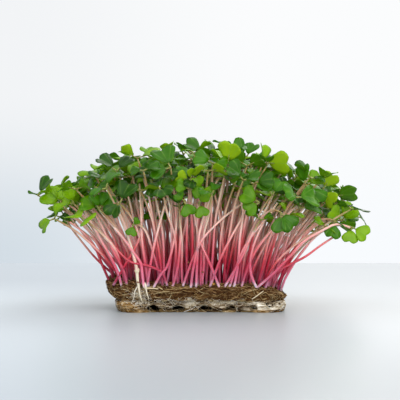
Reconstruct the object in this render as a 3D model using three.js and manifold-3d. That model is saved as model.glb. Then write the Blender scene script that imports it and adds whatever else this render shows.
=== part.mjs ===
// A block of pink-stemmed radish seedlings on the root mat that they were sown on, lifted out of its tray.
// Millimetres, +Z up. The origin is on the surface that the block rests on, under the middle of the mat,
// with +X along the block's long side and -Y towards its front.
import * as THREE from 'three';
import { mergeVertices } from 'three/addons/utils/BufferGeometryUtils.js';
import Module from 'manifold-3d';

const wasm = await Module();
wasm.setup();

// Driving dimensions of the block: a mat pressed into a tray with sloping sides.
const MAT_TOP = 16.8;
const MAT_BOTTOM = 7.3;
const ROOT_TOP = 7.0;
const TOP_HALF = { x: 56.7, y: 42 };
const FOOT_HALF = { x: 51.8, y: 38.8 };
const FOOT_SHIFT_X = 3.6;
const CORNER_RADIUS = 13;
const LEFT_END_LIFT = 3.4;
const RIGHT_END_DROP = 4.2;
const END_SLOPE_START_X = 32;

// Tunnels that the tray's ribs left in the root layer, from front to back.
const TUNNEL_CENTRES = [-26.7, -11.4, 5.8, 22, 36.2];
const TUNNEL_WIDTHS = [9, 10.5, 10.5, 8.5, 6];
const TUNNEL_HEIGHT = 3.5;
const SKIN_UNDER_TUNNEL = 1.3;
const RECESS_BETWEEN_FEET = 1.8;
const FEET_START_X = 31;

// Tufts of seedlings: how many, how they stand in the mat, and the size of one seedling.
const TUFT_COLUMNS = 8;
const TUFT_ROWS = 6;
const STEMS_PER_TUFT = 3;
const TUFT_MARGIN = 7;
const HOLE_DEPTH = 6.5;
const HOLE_RADIUS = 5.3;
const PLUG_RADIUS = 4.85;
const HOLE_SIDES = 5;
const STEM_FOOT_OFFSET = 1.85;
const STEM_SUNK = 1.5;
const STEM_RADIUS_FOOT = 1.05;
const STEM_RADIUS_TIP = 0.8;
const LEAF_BASE_GAP = 0.45;
const LEAF_LENGTH = 15.4;
const LEAF_HALF_WIDTH = 7.7;
const LEAF_THICKNESS = 0.66;
const SMALL_LEAF_SHARE = 0.8;

// The crown: its height over the mat, how far down into it the lowest leaves stand, how far the outermost
// tips lean out past the mat, and by which share of the height they end lower.
const CROWN_RISE = 82;
const CROWN_TOP_SPREAD = 4;
const CROWN_DEPTH = 29;
const LEAN_OUT = { left: 42, right: 50, side: 26 };
const LOWER_OUTSIDE = { left: 0.36, right: 0.3, side: 0.16 };
const LATE_SHARE = 0.03;
const LATE_HEIGHT = 0.68;
const LATE_LEAF = 0.66;

// Small things at the mat's rim: the bare root and the empty seed coats, by the tuft on their left.
const BARE_ROOT_TUFT = 1;
const BARE_ROOT_RADIUS = 0.75;
const HUSK_GAPS = [0, 2, 4, 6, 41, 44];
const HUSK_ROW_Y = 39.2;
const HUSK_SIZE = { x: 2.9, y: 2.3, z: 1.7 };

// Seedlings that stand out of the crowd: the tips of the short, bowed ones at the front and of the
// furthest ones at both ends, by seedling number, with the size of their leaves. An arched one also has
// the shares of its way out and up at which it bends.
const CHOSEN_TIPS = {
  10: { tip: [-3, -56, 82], size: 0.74 },
  12: { tip: [4, -50, 70], size: 0.72 },
  19: { tip: [57, -52, 61], size: 0.74 },
  22: { tip: [80, -38, 52], size: 0.66 },
  69: { tip: [104, -6, 60], size: 0.9, bend: [0.46, 1.15] },
  93: { tip: [95, 18, 74], size: 0.95 },
  24: { tip: [-91, -20, 72], size: 0.95 },
  48: { tip: [-90, 0, 60], size: 0.8 },
  72: { tip: [-89, 16, 77], size: 0.95 },
};

// Least distances between the sampled middles of leaves and stems, so that no two tufts touch.
const LEAF_TO_LEAF = 3.4;
const LEAF_TO_STEM = 3.0;
const STEM_TO_STEM = 2.8;
const STEM_OVER_MAT = 1.7;
const LEAF_OVER_MAT = 8;
const LEAF_REACH = 12.1;
const MOST_TRIES = 90;
const LATE_FROM_TRY = 60;

const UP = new THREE.Vector3(0, 0, 1);

const mix = (a, b, t) => a + (b - a) * t;
const radians = (degrees) => (degrees * Math.PI) / 180;

function smoothStep(from, to, value) {
  const t = Math.min(1, Math.max(0, (value - from) / (to - from)));
  return t * t * (3 - 2 * t);
}

// One seeded number from 0 to 1 for a seedling, a try and a use.
function draw(seedling, attempt, use) {
  let hash = Math.imul(seedling + 1, 0x9e3779b1);
  hash ^= Math.imul(attempt + 1, 0x85ebca77);
  hash ^= Math.imul(use + 1, 0xc2b2ae3d);
  hash = Math.imul(hash ^ (hash >>> 15), 0x2c1b3c6d);
  hash = Math.imul(hash ^ (hash >>> 12), 0x297a2d39);
  hash ^= hash >>> 15;
  return (hash >>> 0) / 4294967296;
}

// A closed solid from points and triangles.
function solidOf(points, faces) {
  const geometry = new THREE.BufferGeometry();
  geometry.setAttribute('position', new THREE.Float32BufferAttribute(points.flatMap((p) => p.toArray()), 3));
  geometry.setIndex(faces.flat());
  return solidFromGeometry(geometry);
}

function solidFromGeometry(geometry) {
  const bare = geometry.clone();
  bare.deleteAttribute('normal');
  bare.deleteAttribute('uv');
  const merged = mergeVertices(bare, 1e-4);
  return new wasm.Manifold(new wasm.Mesh({
    numProp: 3,
    vertProperties: merged.attributes.position.array,
    triVerts: new Uint32Array(merged.index.array),
  }));
}

function meshFromSolid(solid, name, material) {
  const data = solid.getMesh();
  const geometry = new THREE.BufferGeometry();
  geometry.setAttribute('position', new THREE.BufferAttribute(data.vertProperties, 3));
  geometry.setIndex(new THREE.BufferAttribute(data.triVerts, 1));
  geometry.computeVertexNormals();
  const mesh = new THREE.Mesh(geometry, material);
  mesh.name = name;
  return mesh;
}

// A rounded rectangle as a counterclockwise ring of points.
function roundedOutline(half, radius) {
  const perCorner = 3;
  const perLongSide = 6;
  const perShortSide = 4;
  const corners = [[1, -1], [1, 1], [-1, 1], [-1, -1]];
  const ring = [];
  corners.forEach(([sx, sy], k) => {
    const centre = new THREE.Vector2(sx * (half.x - radius), sy * (half.y - radius));
    for (let i = 0; i <= perCorner; i++) {
      const angle = (k - 1 + i / perCorner) * Math.PI / 2;
      ring.push(new THREE.Vector2(centre.x + radius * Math.cos(angle), centre.y + radius * Math.sin(angle)));
    }
    const [nx, ny] = corners[(k + 1) % 4];
    const next = new THREE.Vector2(nx * (half.x - radius), ny * (half.y - radius));
    const startAngle = k * Math.PI / 2;
    const offset = new THREE.Vector2(Math.cos(startAngle), Math.sin(startAngle)).multiplyScalar(radius);
    const steps = k % 2 ? perLongSide : perShortSide;
    for (let i = 1; i < steps; i++) {
      ring.push(centre.clone().lerp(next, i / steps).add(offset));
    }
  });
  return ring;
}

// The block's outline at a height, with a slight ripple as fibre and roots leave it.
function blockOutline(z, grow) {
  const t = z / MAT_TOP;
  const half = {
    x: mix(FOOT_HALF.x, TOP_HALF.x, t) + grow,
    y: mix(FOOT_HALF.y, TOP_HALF.y, t) + grow,
  };
  const shift = mix(FOOT_SHIFT_X, 0, t);
  return roundedOutline(half, CORNER_RADIUS).map((p, i) => {
    const ripple = 1 + 0.008 * Math.sin(i * 2.3 + z * 0.4) + 0.005 * Math.sin(i * 5.1);
    return new THREE.Vector2(p.x * ripple + shift, p.y * ripple);
  });
}

function matTopAt(x, y) {
  const towardsEnd = Math.max(0, Math.abs(x) - END_SLOPE_START_X) / (TOP_HALF.x - END_SLOPE_START_X);
  const ends = (x < 0 ? LEFT_END_LIFT : -RIGHT_END_DROP) * towardsEnd;
  return MAT_TOP + ends + 0.22 * Math.sin(x * 0.12 + y * 0.07) + 0.2 * Math.sin(y * 0.11 - 1);
}

// A closed solid through rings of equally many points, each end closed to its middle.
function loft(rings) {
  const count = rings[0].length;
  const points = rings.flat();
  const faces = [];
  for (let r = 0; r + 1 < rings.length; r++) {
    for (let i = 0; i < count; i++) {
      const a = r * count + i;
      const b = r * count + (i + 1) % count;
      faces.push([a, b, b + count], [a, b + count, a + count]);
    }
  }
  const middle = (ring) => ring.reduce((sum, p) => sum.add(p), new THREE.Vector3()).divideScalar(count);
  const lastRing = (rings.length - 1) * count;
  const low = points.push(middle(rings[0])) - 1;
  const high = points.push(middle(rings[rings.length - 1])) - 1;
  for (let i = 0; i < count; i++) {
    const j = (i + 1) % count;
    faces.push([low, j, i], [high, lastRing + i, lastRing + j]);
  }
  return solidOf(points, faces);
}

// The pad of plant fibre, with a slightly uneven top and one plain hole for each tuft.
function makeGrowingMat(holes) {
  const flatRing = (z, grow) => blockOutline(z, grow).map((p) => new THREE.Vector3(p.x, p.y, z));
  const topRing = (share, lower) => blockOutline(MAT_TOP, 0).map((p) => {
    const at = p.clone().multiplyScalar(share);
    return new THREE.Vector3(at.x, at.y, matTopAt(at.x, at.y) - lower);
  });
  let mat = loft([
    flatRing(MAT_BOTTOM, -0.4), flatRing(9.6, 0.5),
    topRing(1, 1.3), topRing(0.95, 0), topRing(0.77, 0), topRing(0.55, 0),
  ]);
  holes.forEach((hole) => {
    const geometry = new THREE.CylinderGeometry(HOLE_RADIUS, HOLE_RADIUS, HOLE_DEPTH + 6, HOLE_SIDES);
    geometry.rotateX(Math.PI / 2);
    geometry.translate(hole.x, hole.y, hole.z - HOLE_DEPTH + (HOLE_DEPTH + 6) / 2);
    mat = mat.subtract(solidFromGeometry(geometry));
  });
  return mat;
}

// The felt of roots under the pad: feet at both ends, tunnels between them and a thin skin on the table.
function makeRootLayer() {
  const ring = (z, grow) => blockOutline(z, grow).map((p) => {
    const between = 1 - smoothStep(FEET_START_X - 3, FEET_START_X + 3, Math.abs(p.x - FOOT_SHIFT_X));
    const inward = Math.abs(p.y) > FOOT_HALF.y / 2 ? RECESS_BETWEEN_FEET * between * Math.sign(p.y) : 0;
    return new THREE.Vector3(p.x, p.y - inward, z);
  });
  let layer = loft([ring(0, -1.2), ring(1.2, 0.4), ring(4.5, 0.6), ring(ROOT_TOP, -0.6)]);
  TUNNEL_CENTRES.forEach((x, k) => {
    const half = TUNNEL_WIDTHS[k] / 2;
    const arch = new THREE.Shape();
    arch.moveTo(-half, 0);
    arch.lineTo(half, 0);
    for (let i = 1; i < 6; i++) {
      arch.lineTo(half * Math.cos(i * Math.PI / 6), TUNNEL_HEIGHT * Math.sin(i * Math.PI / 6));
    }
    arch.closePath();
    const geometry = new THREE.ExtrudeGeometry(arch, { depth: 100, bevelEnabled: false });
    geometry.rotateX(Math.PI / 2);
    geometry.translate(x, 50, SKIN_UNDER_TUNNEL);
    layer = layer.subtract(solidFromGeometry(geometry));
  });
  return layer;
}

// Where each tuft stands: a staggered grid with seeded shifts.
function tuftPlaces() {
  const places = [];
  const halfX = TOP_HALF.x - TUFT_MARGIN;
  const halfY = TOP_HALF.y - TUFT_MARGIN;
  for (let row = 0; row < TUFT_ROWS; row++) {
    for (let column = 0; column < TUFT_COLUMNS; column++) {
      const number = row * TUFT_COLUMNS + column;
      const stagger = row % 2 ? 0.72 : 0.28;
      const x = mix(-halfX, halfX, (column + stagger) / TUFT_COLUMNS) + (draw(number, 0, 90) - 0.5) * 3.6;
      const y = mix(-halfY, halfY, row / (TUFT_ROWS - 1)) + (draw(number, 0, 91) - 0.5) * 3;
      const inset = Math.max(0, Math.abs(y) - 30) * Math.max(0, Math.abs(x) - 42) * 0.045;
      const inX = x - Math.sign(x) * inset;
      places.push(new THREE.Vector3(inX, y, matTopAt(inX, y)));
    }
  }
  return places;
}

// Everything that gives one seedling its form: its foot, its curve, and how its two leaves stand.
function planSeedling(number, attempt, place, turn) {
  const some = (use) => draw(number, attempt, use);
  const either = (use, amount) => (some(use) * 2 - 1) * amount;
  const out = new THREE.Vector3(Math.cos(turn), Math.sin(turn), 0);
  const foot = place.clone().addScaledVector(out, STEM_FOOT_OFFSET);
  const spread = place.clone().addScaledVector(out, 4.2);
  const u = spread.x / TOP_HALF.x;
  const v = spread.y / TOP_HALF.y;
  const end = u < 0 ? 'left' : 'right';
  const leanX = LEAN_OUT[end] * u * Math.pow(Math.abs(u), 0.6);
  const leanY = LEAN_OUT.side * v * Math.pow(Math.abs(v), 0.6);
  const fallX = LOWER_OUTSIDE[end] * Math.pow(Math.abs(u), 2.4);
  const fallY = LOWER_OUTSIDE.side * Math.pow(Math.abs(v), 2.4);
  const late = draw(number, 0, 92) < LATE_SHARE || attempt > LATE_FROM_TRY;
  const shrink = 1 - 0.2 * Math.min(1, attempt / LATE_FROM_TRY);
  const thinner = 1 - 0.35 * Math.max(Math.abs(u), Math.abs(v));
  const depth = (CROWN_DEPTH * Math.pow(some(2), 1.3) - CROWN_TOP_SPREAD) * thinner;
  const height = (CROWN_RISE * (1 - fallX - fallY) - depth) * (late ? LATE_HEIGHT : 1);
  const reach = late ? 0.5 : 1;
  const chosen = CHOSEN_TIPS[number];
  const tip = new THREE.Vector3(
    chosen ? chosen.tip[0] + either(0, 2.5) : spread.x + leanX * reach + either(0, 6.5),
    chosen ? chosen.tip[1] + either(1, 2.5) : spread.y + leanY * reach + either(1, 6.5),
    chosen ? chosen.tip[2] + either(2, 1.5) : place.z + height,
  );
  const [wayOut, wayUp] = chosen?.bend ?? [0.24, mix(0.56, 0.7, some(5))];
  const bend = new THREE.Vector3(
    mix(foot.x, tip.x, wayOut) + out.x * 2.2 + either(3, 3.4),
    mix(foot.y, tip.y, wayOut) + out.y * 2.2 + either(4, 3.4),
    foot.z + (tip.z - foot.z) * wayUp,
  );
  const along = tip.clone().sub(bend).normalize();
  const axis = along.multiplyScalar(0.5).addScaledVector(UP, 0.5);
  axis.x += 0.2 * u + either(6, 0.4);
  axis.y += 0.36 * v + either(7, 0.4);
  axis.normalize();
  const heading = some(8) * Math.PI * 2;
  const flat = new THREE.Vector3(Math.cos(heading), Math.sin(heading), 0);
  const across = axis.clone().cross(flat).normalize();
  const ahead = across.clone().cross(axis).normalize();
  return {
    foot, bend, tip, axis, ahead, across,
    size: chosen ? chosen.size : (late ? LATE_LEAF : shrink) * mix(0.84, 1.1, draw(number, 0, 93)),
    rise: [radians(mix(12, 60, some(9))), radians(mix(12, 60, some(10)))],
    droop: [radians(mix(24, 96, some(11))), radians(mix(24, 96, some(12)))],
    fold: [radians(mix(-12, 28, some(13))), radians(mix(-12, 28, some(14)))],
  };
}

function stemPoint(plan, t) {
  const s = 1 - t;
  return new THREE.Vector3()
    .addScaledVector(plan.foot, s * s)
    .addScaledVector(plan.bend, 2 * s * t)
    .addScaledVector(plan.tip, t * t);
}

function stemHeading(plan, t) {
  return new THREE.Vector3()
    .addScaledVector(plan.bend.clone().sub(plan.foot), 1 - t)
    .addScaledVector(plan.tip.clone().sub(plan.bend), t)
    .normalize();
}

// A point of a leaf's middle surface: side 0 is the larger leaf and 1 the smaller one opposite,
// along runs from 0 at the stem to 1 at the lobes, and across is in millimetres from the midrib.
function leafPoint(plan, side, along, across) {
  const way = side ? -1 : 1;
  const length = LEAF_LENGTH * plan.size * (side ? SMALL_LEAF_SHARE : 1);
  const rise = plan.rise[side];
  const droop = plan.droop[side];
  const angle = rise - droop * along;
  const forward = length * (Math.sin(rise) - Math.sin(angle)) / droop;
  const upward = length * (Math.cos(angle) - Math.cos(rise)) / droop;
  const normal = new THREE.Vector3()
    .addScaledVector(plan.ahead, -way * Math.sin(angle))
    .addScaledVector(plan.axis, Math.cos(angle));
  const point = plan.tip.clone()
    .addScaledVector(plan.axis, LEAF_BASE_GAP + upward)
    .addScaledVector(plan.ahead, way * forward)
    .addScaledVector(plan.across, way * across * Math.cos(plan.fold[side]))
    .addScaledVector(normal, Math.abs(across) * Math.sin(plan.fold[side]));
  return { point, normal };
}

function leafHalfWidth(plan, side) {
  return LEAF_HALF_WIDTH * plan.size * (side ? SMALL_LEAF_SHARE : 1);
}

// Points spread over a seedling's leaves and along its stem, to keep it clear of the others.
function samplesOf(plan) {
  const rows = [[0.3, 0.25], [0.46, 0.7], [0.62, 1], [0.8, 0.95], [0.96, 0.68]];
  const leaves = [0, 1].map((side) => rows.flatMap(([along, share]) => [-1, -0.5, 0, 0.5, 1].map((across) => (
    leafPoint(plan, side, along, across * share * leafHalfWidth(plan, side)).point
  ))));
  const stem = Array.from({ length: 32 }, (_, i) => stemPoint(plan, (i + 0.5) / 32));
  return { leaves, stem, centres: leaves.map((points) => points[12]) };
}

function closerThan(limit, some, others) {
  const square = limit * limit;
  return some.some((p) => others.some((q) => p.distanceToSquared(q) < square));
}

function isClear(samples, tuft, placed) {
  const overMat = (p) => p.z > matTopAt(p.x, p.y) + STEM_OVER_MAT;
  if (!samples.stem.slice(2).every(overMat)) return false;
  if (samples.leaves.flat().some((p) => p.z < MAT_TOP + LEAF_OVER_MAT)) return false;
  if (closerThan(LEAF_TO_LEAF * 0.6, samples.leaves[0].slice(5), samples.leaves[1].slice(5))) return false;
  return placed.every((other) => {
    for (let i = 0; i < 2; i++) {
      for (let j = 0; j < 2; j++) {
        if (samples.centres[i].distanceTo(other.centres[j]) < 2 * LEAF_REACH
          && closerThan(LEAF_TO_LEAF, samples.leaves[i], other.leaves[j])) return false;
      }
      if (closerThan(LEAF_REACH, [samples.centres[i]], other.stem)
        && closerThan(LEAF_TO_STEM, samples.leaves[i], other.stem)) return false;
      if (closerThan(LEAF_REACH, [other.centres[i]], samples.stem)
        && closerThan(LEAF_TO_STEM, other.leaves[i], samples.stem)) return false;
    }
    return other.tuft === tuft || !closerThan(STEM_TO_STEM, samples.stem, other.stem);
  });
}

// Faces of one leaf's flat outline, counterclockwise from above: foot, neck, widest, lobe and notch.
const LEAF_FACES = [[0, 1, 8], [1, 7, 8], [1, 4, 7], [1, 2, 4], [2, 3, 4], [4, 6, 7], [4, 5, 6]];

// One seedling as a closed mesh: a four-sided stem that divides into two leaves at its tip.
function makeSeedling(plan) {
  const points = [];
  const faces = [];
  const rings = 4;
  for (let r = 0; r < rings; r++) {
    const t = r / (rings - 1);
    const centre = stemPoint(plan, t);
    const heading = stemHeading(plan, t);
    if (r === 0) centre.z -= STEM_SUNK;
    const radius = mix(STEM_RADIUS_FOOT, STEM_RADIUS_TIP, t);
    const across = plan.across.clone().addScaledVector(heading, -plan.across.dot(heading)).normalize();
    const ahead = across.clone().cross(heading).normalize();
    [[1, -1], [1, 1], [-1, 1], [-1, -1]].forEach(([h, w]) => {
      const corner = centre.clone().addScaledVector(ahead, h * radius * 0.9);
      points.push(corner.addScaledVector(across, w * radius * 0.9));
    });
    if (r === 0) faces.push([0, 3, 2], [0, 2, 1]);
    if (r === 0) continue;
    for (let i = 0; i < 4; i++) {
      const low = (r - 1) * 4;
      const high = r * 4;
      const j = (i + 1) % 4;
      faces.push([low + i, low + j, high + j], [low + i, high + j, high + i]);
    }
  }
  const top = (rings - 1) * 4;
  const ridge = [-1, 1].map((w) => points.push(plan.tip.clone()
    .addScaledVector(plan.axis, 0.85)
    .addScaledVector(plan.across, w * STEM_RADIUS_TIP * 0.9)) - 1);
  faces.push([top + 3, top, ridge[0]], [top + 1, top + 2, ridge[1]]);
  for (let side = 0; side < 2; side++) {
    const half = leafHalfWidth(plan, side);
    const outline = [
      [0.25, -0.8], [0.57, -half], [1, -0.64 * half], [0.86, 0], [1, 0.64 * half], [0.57, half], [0.25, 0.8],
    ];
    const upper = [side ? ridge[1] : ridge[0]];
    const lower = [side ? top + 2 : top];
    outline.forEach(([along, across]) => {
      const { point, normal } = leafPoint(plan, side, along, across);
      upper.push(points.push(point.clone().addScaledVector(normal, LEAF_THICKNESS / 2)) - 1);
      lower.push(points.push(point.clone().addScaledVector(normal, -LEAF_THICKNESS / 2)) - 1);
    });
    upper.push(side ? ridge[0] : ridge[1]);
    lower.push(side ? top + 3 : top + 1);
    LEAF_FACES.forEach(([a, b, c]) => {
      faces.push([upper[a], upper[b], upper[c]], [lower[c], lower[b], lower[a]]);
    });
    for (let i = 0; i < 8; i++) {
      faces.push([lower[i], lower[i + 1], upper[i + 1]], [lower[i], upper[i + 1], upper[i]]);
    }
  }
  return solidOf(points, faces);
}

// The short plug of seeds and matted roots that holds a tuft's stems together in its hole.
function makePlug(place) {
  const height = HOLE_DEPTH - 0.4 + 0.7;
  const geometry = new THREE.CylinderGeometry(PLUG_RADIUS, PLUG_RADIUS * 0.8, height, HOLE_SIDES);
  geometry.rotateX(Math.PI / 2);
  geometry.translate(place.x, place.y, place.z - HOLE_DEPTH + 0.4 + height / 2);
  return solidFromGeometry(geometry);
}

// The tuft at the front whose root lies bare: over the mat's edge and down its front face.
function makeBareRoot(place) {
  const path = new THREE.CatmullRomCurve3([
    [0, 1.5, -0.6], [0.8, -2.6, 0.9], [2, -6.6, 1.5], [3, -8.6, 0], [3.6, -8.5, -4], [5, -8, -8.4],
  ].map(([x, y, z]) => new THREE.Vector3(x, y, z)));
  const section = new THREE.Shape();
  for (let i = 0; i < 5; i++) {
    const angle = i * Math.PI * 2 / 5;
    section[i ? 'lineTo' : 'moveTo'](BARE_ROOT_RADIUS * Math.cos(angle), BARE_ROOT_RADIUS * Math.sin(angle));
  }
  section.closePath();
  const geometry = new THREE.ExtrudeGeometry(section, { extrudePath: path, steps: 9, bevelEnabled: false });
  geometry.translate(place.x, place.y, place.z);
  return solidFromGeometry(geometry);
}

// An empty seed coat lying on the mat's rim, midway between two tufts.
function makeHusk(first, second, number) {
  const x = (first.x + second.x) / 2;
  const y = Math.sign(first.y) * HUSK_ROW_Y;
  const geometry = new THREE.SphereGeometry(1, 6, 4);
  geometry.scale(HUSK_SIZE.x / 2, HUSK_SIZE.y / 2, HUSK_SIZE.z / 2);
  geometry.rotateZ(draw(number, 0, 95) * Math.PI);
  geometry.translate(x, y, matTopAt(x, y) + HUSK_SIZE.z / 2 + 0.35);
  return solidFromGeometry(geometry);
}

const materials = {
  mat: new THREE.MeshStandardMaterial({ color: 0x6f5a44, roughness: 0.95, metalness: 0 }),
  roots: new THREE.MeshStandardMaterial({ color: 0xc9b795, roughness: 0.85, metalness: 0 }),
  husk: new THREE.MeshStandardMaterial({ color: 0x8a5a2b, roughness: 0.6, metalness: 0 }),
  seedling: new THREE.MeshStandardMaterial({ color: 0x4f9a2c, roughness: 0.45, metalness: 0 }),
};

// The first try of each seedling that touches no other, the chosen ones first.
function plantSeedlings(places) {
  const placed = [];
  const numbers = Array.from({ length: places.length * STEMS_PER_TUFT }, (_, number) => number);
  const chosenFirst = (a, b) => (b in CHOSEN_TIPS) - (a in CHOSEN_TIPS) || a - b;
  numbers.sort(chosenFirst).forEach((number) => {
    const tuft = Math.floor(number / STEMS_PER_TUFT);
    const turn = (draw(tuft, 0, 94) + (number % STEMS_PER_TUFT) / STEMS_PER_TUFT) * Math.PI * 2;
    for (let attempt = 0; attempt < MOST_TRIES; attempt++) {
      const plan = planSeedling(number, attempt, places[tuft], turn);
      const samples = samplesOf(plan);
      if (isClear(samples, tuft, placed)) {
        placed.push({ ...samples, tuft, plan });
        return;
      }
    }
  });
  return placed;
}

const block = new THREE.Group();
const places = tuftPlaces();
const seedlings = plantSeedlings(places);
places.forEach((place, tuft) => {
  const grown = seedlings.filter((seedling) => seedling.tuft === tuft).map(({ plan }) => makeSeedling(plan));
  if (tuft === BARE_ROOT_TUFT) grown.push(makeBareRoot(place));
  const solid = grown.reduce((joined, one) => joined.add(one), makePlug(place));
  block.add(meshFromSolid(solid, `seedling_tuft_${String(tuft + 1).padStart(2, '0')}`, materials.seedling));
});
block.add(meshFromSolid(makeGrowingMat(places), 'growing_mat', materials.mat));
block.add(meshFromSolid(makeRootLayer(), 'root_layer', materials.roots));
HUSK_GAPS.forEach((first, k) => {
  const husk = makeHusk(places[first], places[first + 1], k);
  block.add(meshFromSolid(husk, `seed_husk_${k + 1}`, materials.husk));
});
export default block;
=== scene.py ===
# A block of pink-stemmed radish seedlings on the root mat that they were sown on, lifted out of its tray.
# Planned in millimetres and made in metres, +Z up, with the front towards -Y.
import math
import random

import bmesh
import bpy
import numpy as np
from mathutils import Matrix, Vector, noise
from mathutils.bvhtree import BVHTree


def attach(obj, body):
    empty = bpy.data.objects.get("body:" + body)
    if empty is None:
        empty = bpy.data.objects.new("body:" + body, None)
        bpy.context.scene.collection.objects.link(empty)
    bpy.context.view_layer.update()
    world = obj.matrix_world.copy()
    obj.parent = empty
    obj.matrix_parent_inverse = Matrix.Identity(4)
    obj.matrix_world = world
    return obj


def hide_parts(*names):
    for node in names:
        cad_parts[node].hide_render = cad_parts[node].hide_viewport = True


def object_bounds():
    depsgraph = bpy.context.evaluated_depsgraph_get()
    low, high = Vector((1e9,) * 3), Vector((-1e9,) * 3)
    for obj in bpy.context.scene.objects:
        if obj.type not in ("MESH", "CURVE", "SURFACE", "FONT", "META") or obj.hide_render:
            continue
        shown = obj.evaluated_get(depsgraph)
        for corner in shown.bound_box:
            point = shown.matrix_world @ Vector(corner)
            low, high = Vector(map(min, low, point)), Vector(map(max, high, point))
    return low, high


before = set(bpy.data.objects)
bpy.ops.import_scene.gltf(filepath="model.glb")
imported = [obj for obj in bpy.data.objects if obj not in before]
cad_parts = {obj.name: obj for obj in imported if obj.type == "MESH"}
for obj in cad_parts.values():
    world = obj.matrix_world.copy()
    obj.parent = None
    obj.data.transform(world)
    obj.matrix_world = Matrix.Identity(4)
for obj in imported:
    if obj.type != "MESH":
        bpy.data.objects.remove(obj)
cad_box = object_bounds()

MM = 0.001
scene = bpy.context.scene


# The camera stands level, a hand's breadth above the table and well back, so the block is seen from the side
# and the fan of stems stays upright.
PHOTO_SIDE_PX = 400
MAT_MIDDLE_X_PX = 195.5
FOOT_LINE_Y_PX = 313
HORIZON_Y_PX = 200
MM_PER_PX = 0.62
CAMERA_TO_FRONT = 760
MAT_FRONT_Y = -42

camera_data = bpy.data.cameras.new("camera")
camera_data.lens = camera_data.sensor_width * CAMERA_TO_FRONT / (PHOTO_SIDE_PX * MM_PER_PX)
camera = bpy.data.objects.new("camera", camera_data)
scene.collection.objects.link(camera)
camera.location = Vector((
    (PHOTO_SIDE_PX / 2 - MAT_MIDDLE_X_PX) * MM_PER_PX,
    MAT_FRONT_Y - CAMERA_TO_FRONT,
    (FOOT_LINE_Y_PX - HORIZON_Y_PX) * MM_PER_PX,
)) * MM
camera.rotation_euler = (math.pi / 2, 0, 0)
scene.camera = camera
scene.view_settings.view_transform = "Standard"


# The light is a large window behind the block and to its right, a pale ceiling, and a weak white fill from
# the front. The wall behind is the world's colour: pale blue-grey low on the left, nearly white elsewhere.
def linear(colour):
    """The linear RGBA of an sRGB hex colour such as "#6f5a44"."""
    parts = [int(colour[i:i + 2], 16) / 255 for i in (1, 3, 5)]
    return tuple(c / 12.92 if c <= 0.04045 else ((c + 0.055) / 1.055) ** 2.4 for c in parts) + (1.0,)


def plug(node, inputs):
    """Sets inputs of a node: plain values, hex colours, sockets, or nodes, which give their first output."""
    for socket, value in inputs.items():
        if isinstance(value, bpy.types.Node):
            value = next(output for output in value.outputs if output.enabled)
        if isinstance(value, bpy.types.NodeSocket):
            node.id_data.links.new(value, node.inputs[socket])
        else:
            node.inputs[socket].default_value = linear(value) if isinstance(value, str) else value


def add(tree, kind, inputs=None, stops=None, **settings):
    """Adds a node with its settings, its inputs and its ramp's stops."""
    node = tree.nodes.new(kind)
    for name, value in settings.items():
        setattr(node, name, value)
    plug(node, inputs or {})
    if stops:
        elements = node.color_ramp.elements
        while len(elements) < len(stops):
            elements.new(0.5)
        for element, (place, colour) in zip(elements, stops):
            element.position = place
            element.color = linear(colour)
    return node


def area_light(name, place, aim, width, height, watts, colour):
    data = bpy.data.lights.new(name, "AREA")
    data.shape = "RECTANGLE"
    data.size = width
    data.size_y = height
    data.energy = watts
    data.color = linear(colour)[:3]
    lamp = bpy.data.objects.new(name, data)
    scene.collection.objects.link(lamp)
    lamp.location = place
    lamp.rotation_euler = (Vector(aim) - Vector(place)).to_track_quat("-Z", "Y").to_euler()


area_light("window", (0.62, 1.0, 0.95), (0, 0, 0.06), 1.5, 1.1, 15, "#fffdf8")
area_light("ceiling", (0.1, -0.6, 1.5), (0, 0, 0.05), 1.6, 1.6, 9, "#fffefa")
area_light("front_fill", (0.3, -1.5, 0.55), (0, 0, 0.05), 1.6, 1.1, 19, "#fffdfa")
ROOM_LIGHT = 0.92

world = bpy.data.worlds.new("pale_room")
scene.world = world
world.use_nodes = True
tree = world.node_tree
tree.nodes.clear()
direction = add(tree, "ShaderNodeTexCoord").outputs["Generated"]
apart = add(tree, "ShaderNodeSeparateXYZ", {"Vector": direction}).outputs
towards_right, towards_top = (
    add(tree, "ShaderNodeMapRange", {"Value": apart[axis], "From Min": start, "From Max": end},
        interpolation_type="SMOOTHSTEP")
    for axis, start, end in (("X", -0.17, 0.07), ("Z", -0.05, 0.09)))
low_wall, high_wall = (
    add(tree, "ShaderNodeMix", {"Factor": towards_right, "A": left, "B": right}, data_type="RGBA")
    for left, right in (("#d3dde5", "#f8fbfe"), ("#f2f4f6", "#fbfcfd")))
wall = add(tree, "ShaderNodeMix", {"Factor": towards_top, "A": low_wall, "B": high_wall}, data_type="RGBA")
rays = add(tree, "ShaderNodeLightPath").outputs
seen = add(tree, "ShaderNodeMath", {0: rays["Is Camera Ray"], 1: rays["Is Glossy Ray"]}, operation="MAXIMUM")
strength = add(tree, "ShaderNodeMapRange", {"Value": seen, "To Min": ROOM_LIGHT, "To Max": 1.0})
glow = add(tree, "ShaderNodeBackground", {"Color": wall, "Strength": strength})
add(tree, "ShaderNodeOutputWorld", {"Surface": glow})


# The table is a pale top with a satin finish that ends some way behind the block. Its colour has painted
# light
# and shade in it: paler to the left, beside the block and to the right, and greyer towards the front.
TABLE_HALF_WIDTH = 1300
TABLE_FRONT = -1400
TABLE_BACK = 560


def mesh_from(made, name):
    """A smooth mesh of a finished bmesh."""
    for face in made.faces:
        face.smooth = True
    mesh = bpy.data.meshes.new(name)
    made.to_mesh(mesh)
    made.free()
    return mesh


def material(name, inputs):
    """A new material with some of its surface's inputs set, its node tree and its surface shader."""
    made = bpy.data.materials.new(name)
    made.use_nodes = True
    shader = made.node_tree.nodes["Principled BSDF"]
    plug(shader, inputs)
    return made, made.node_tree, shader


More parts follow.
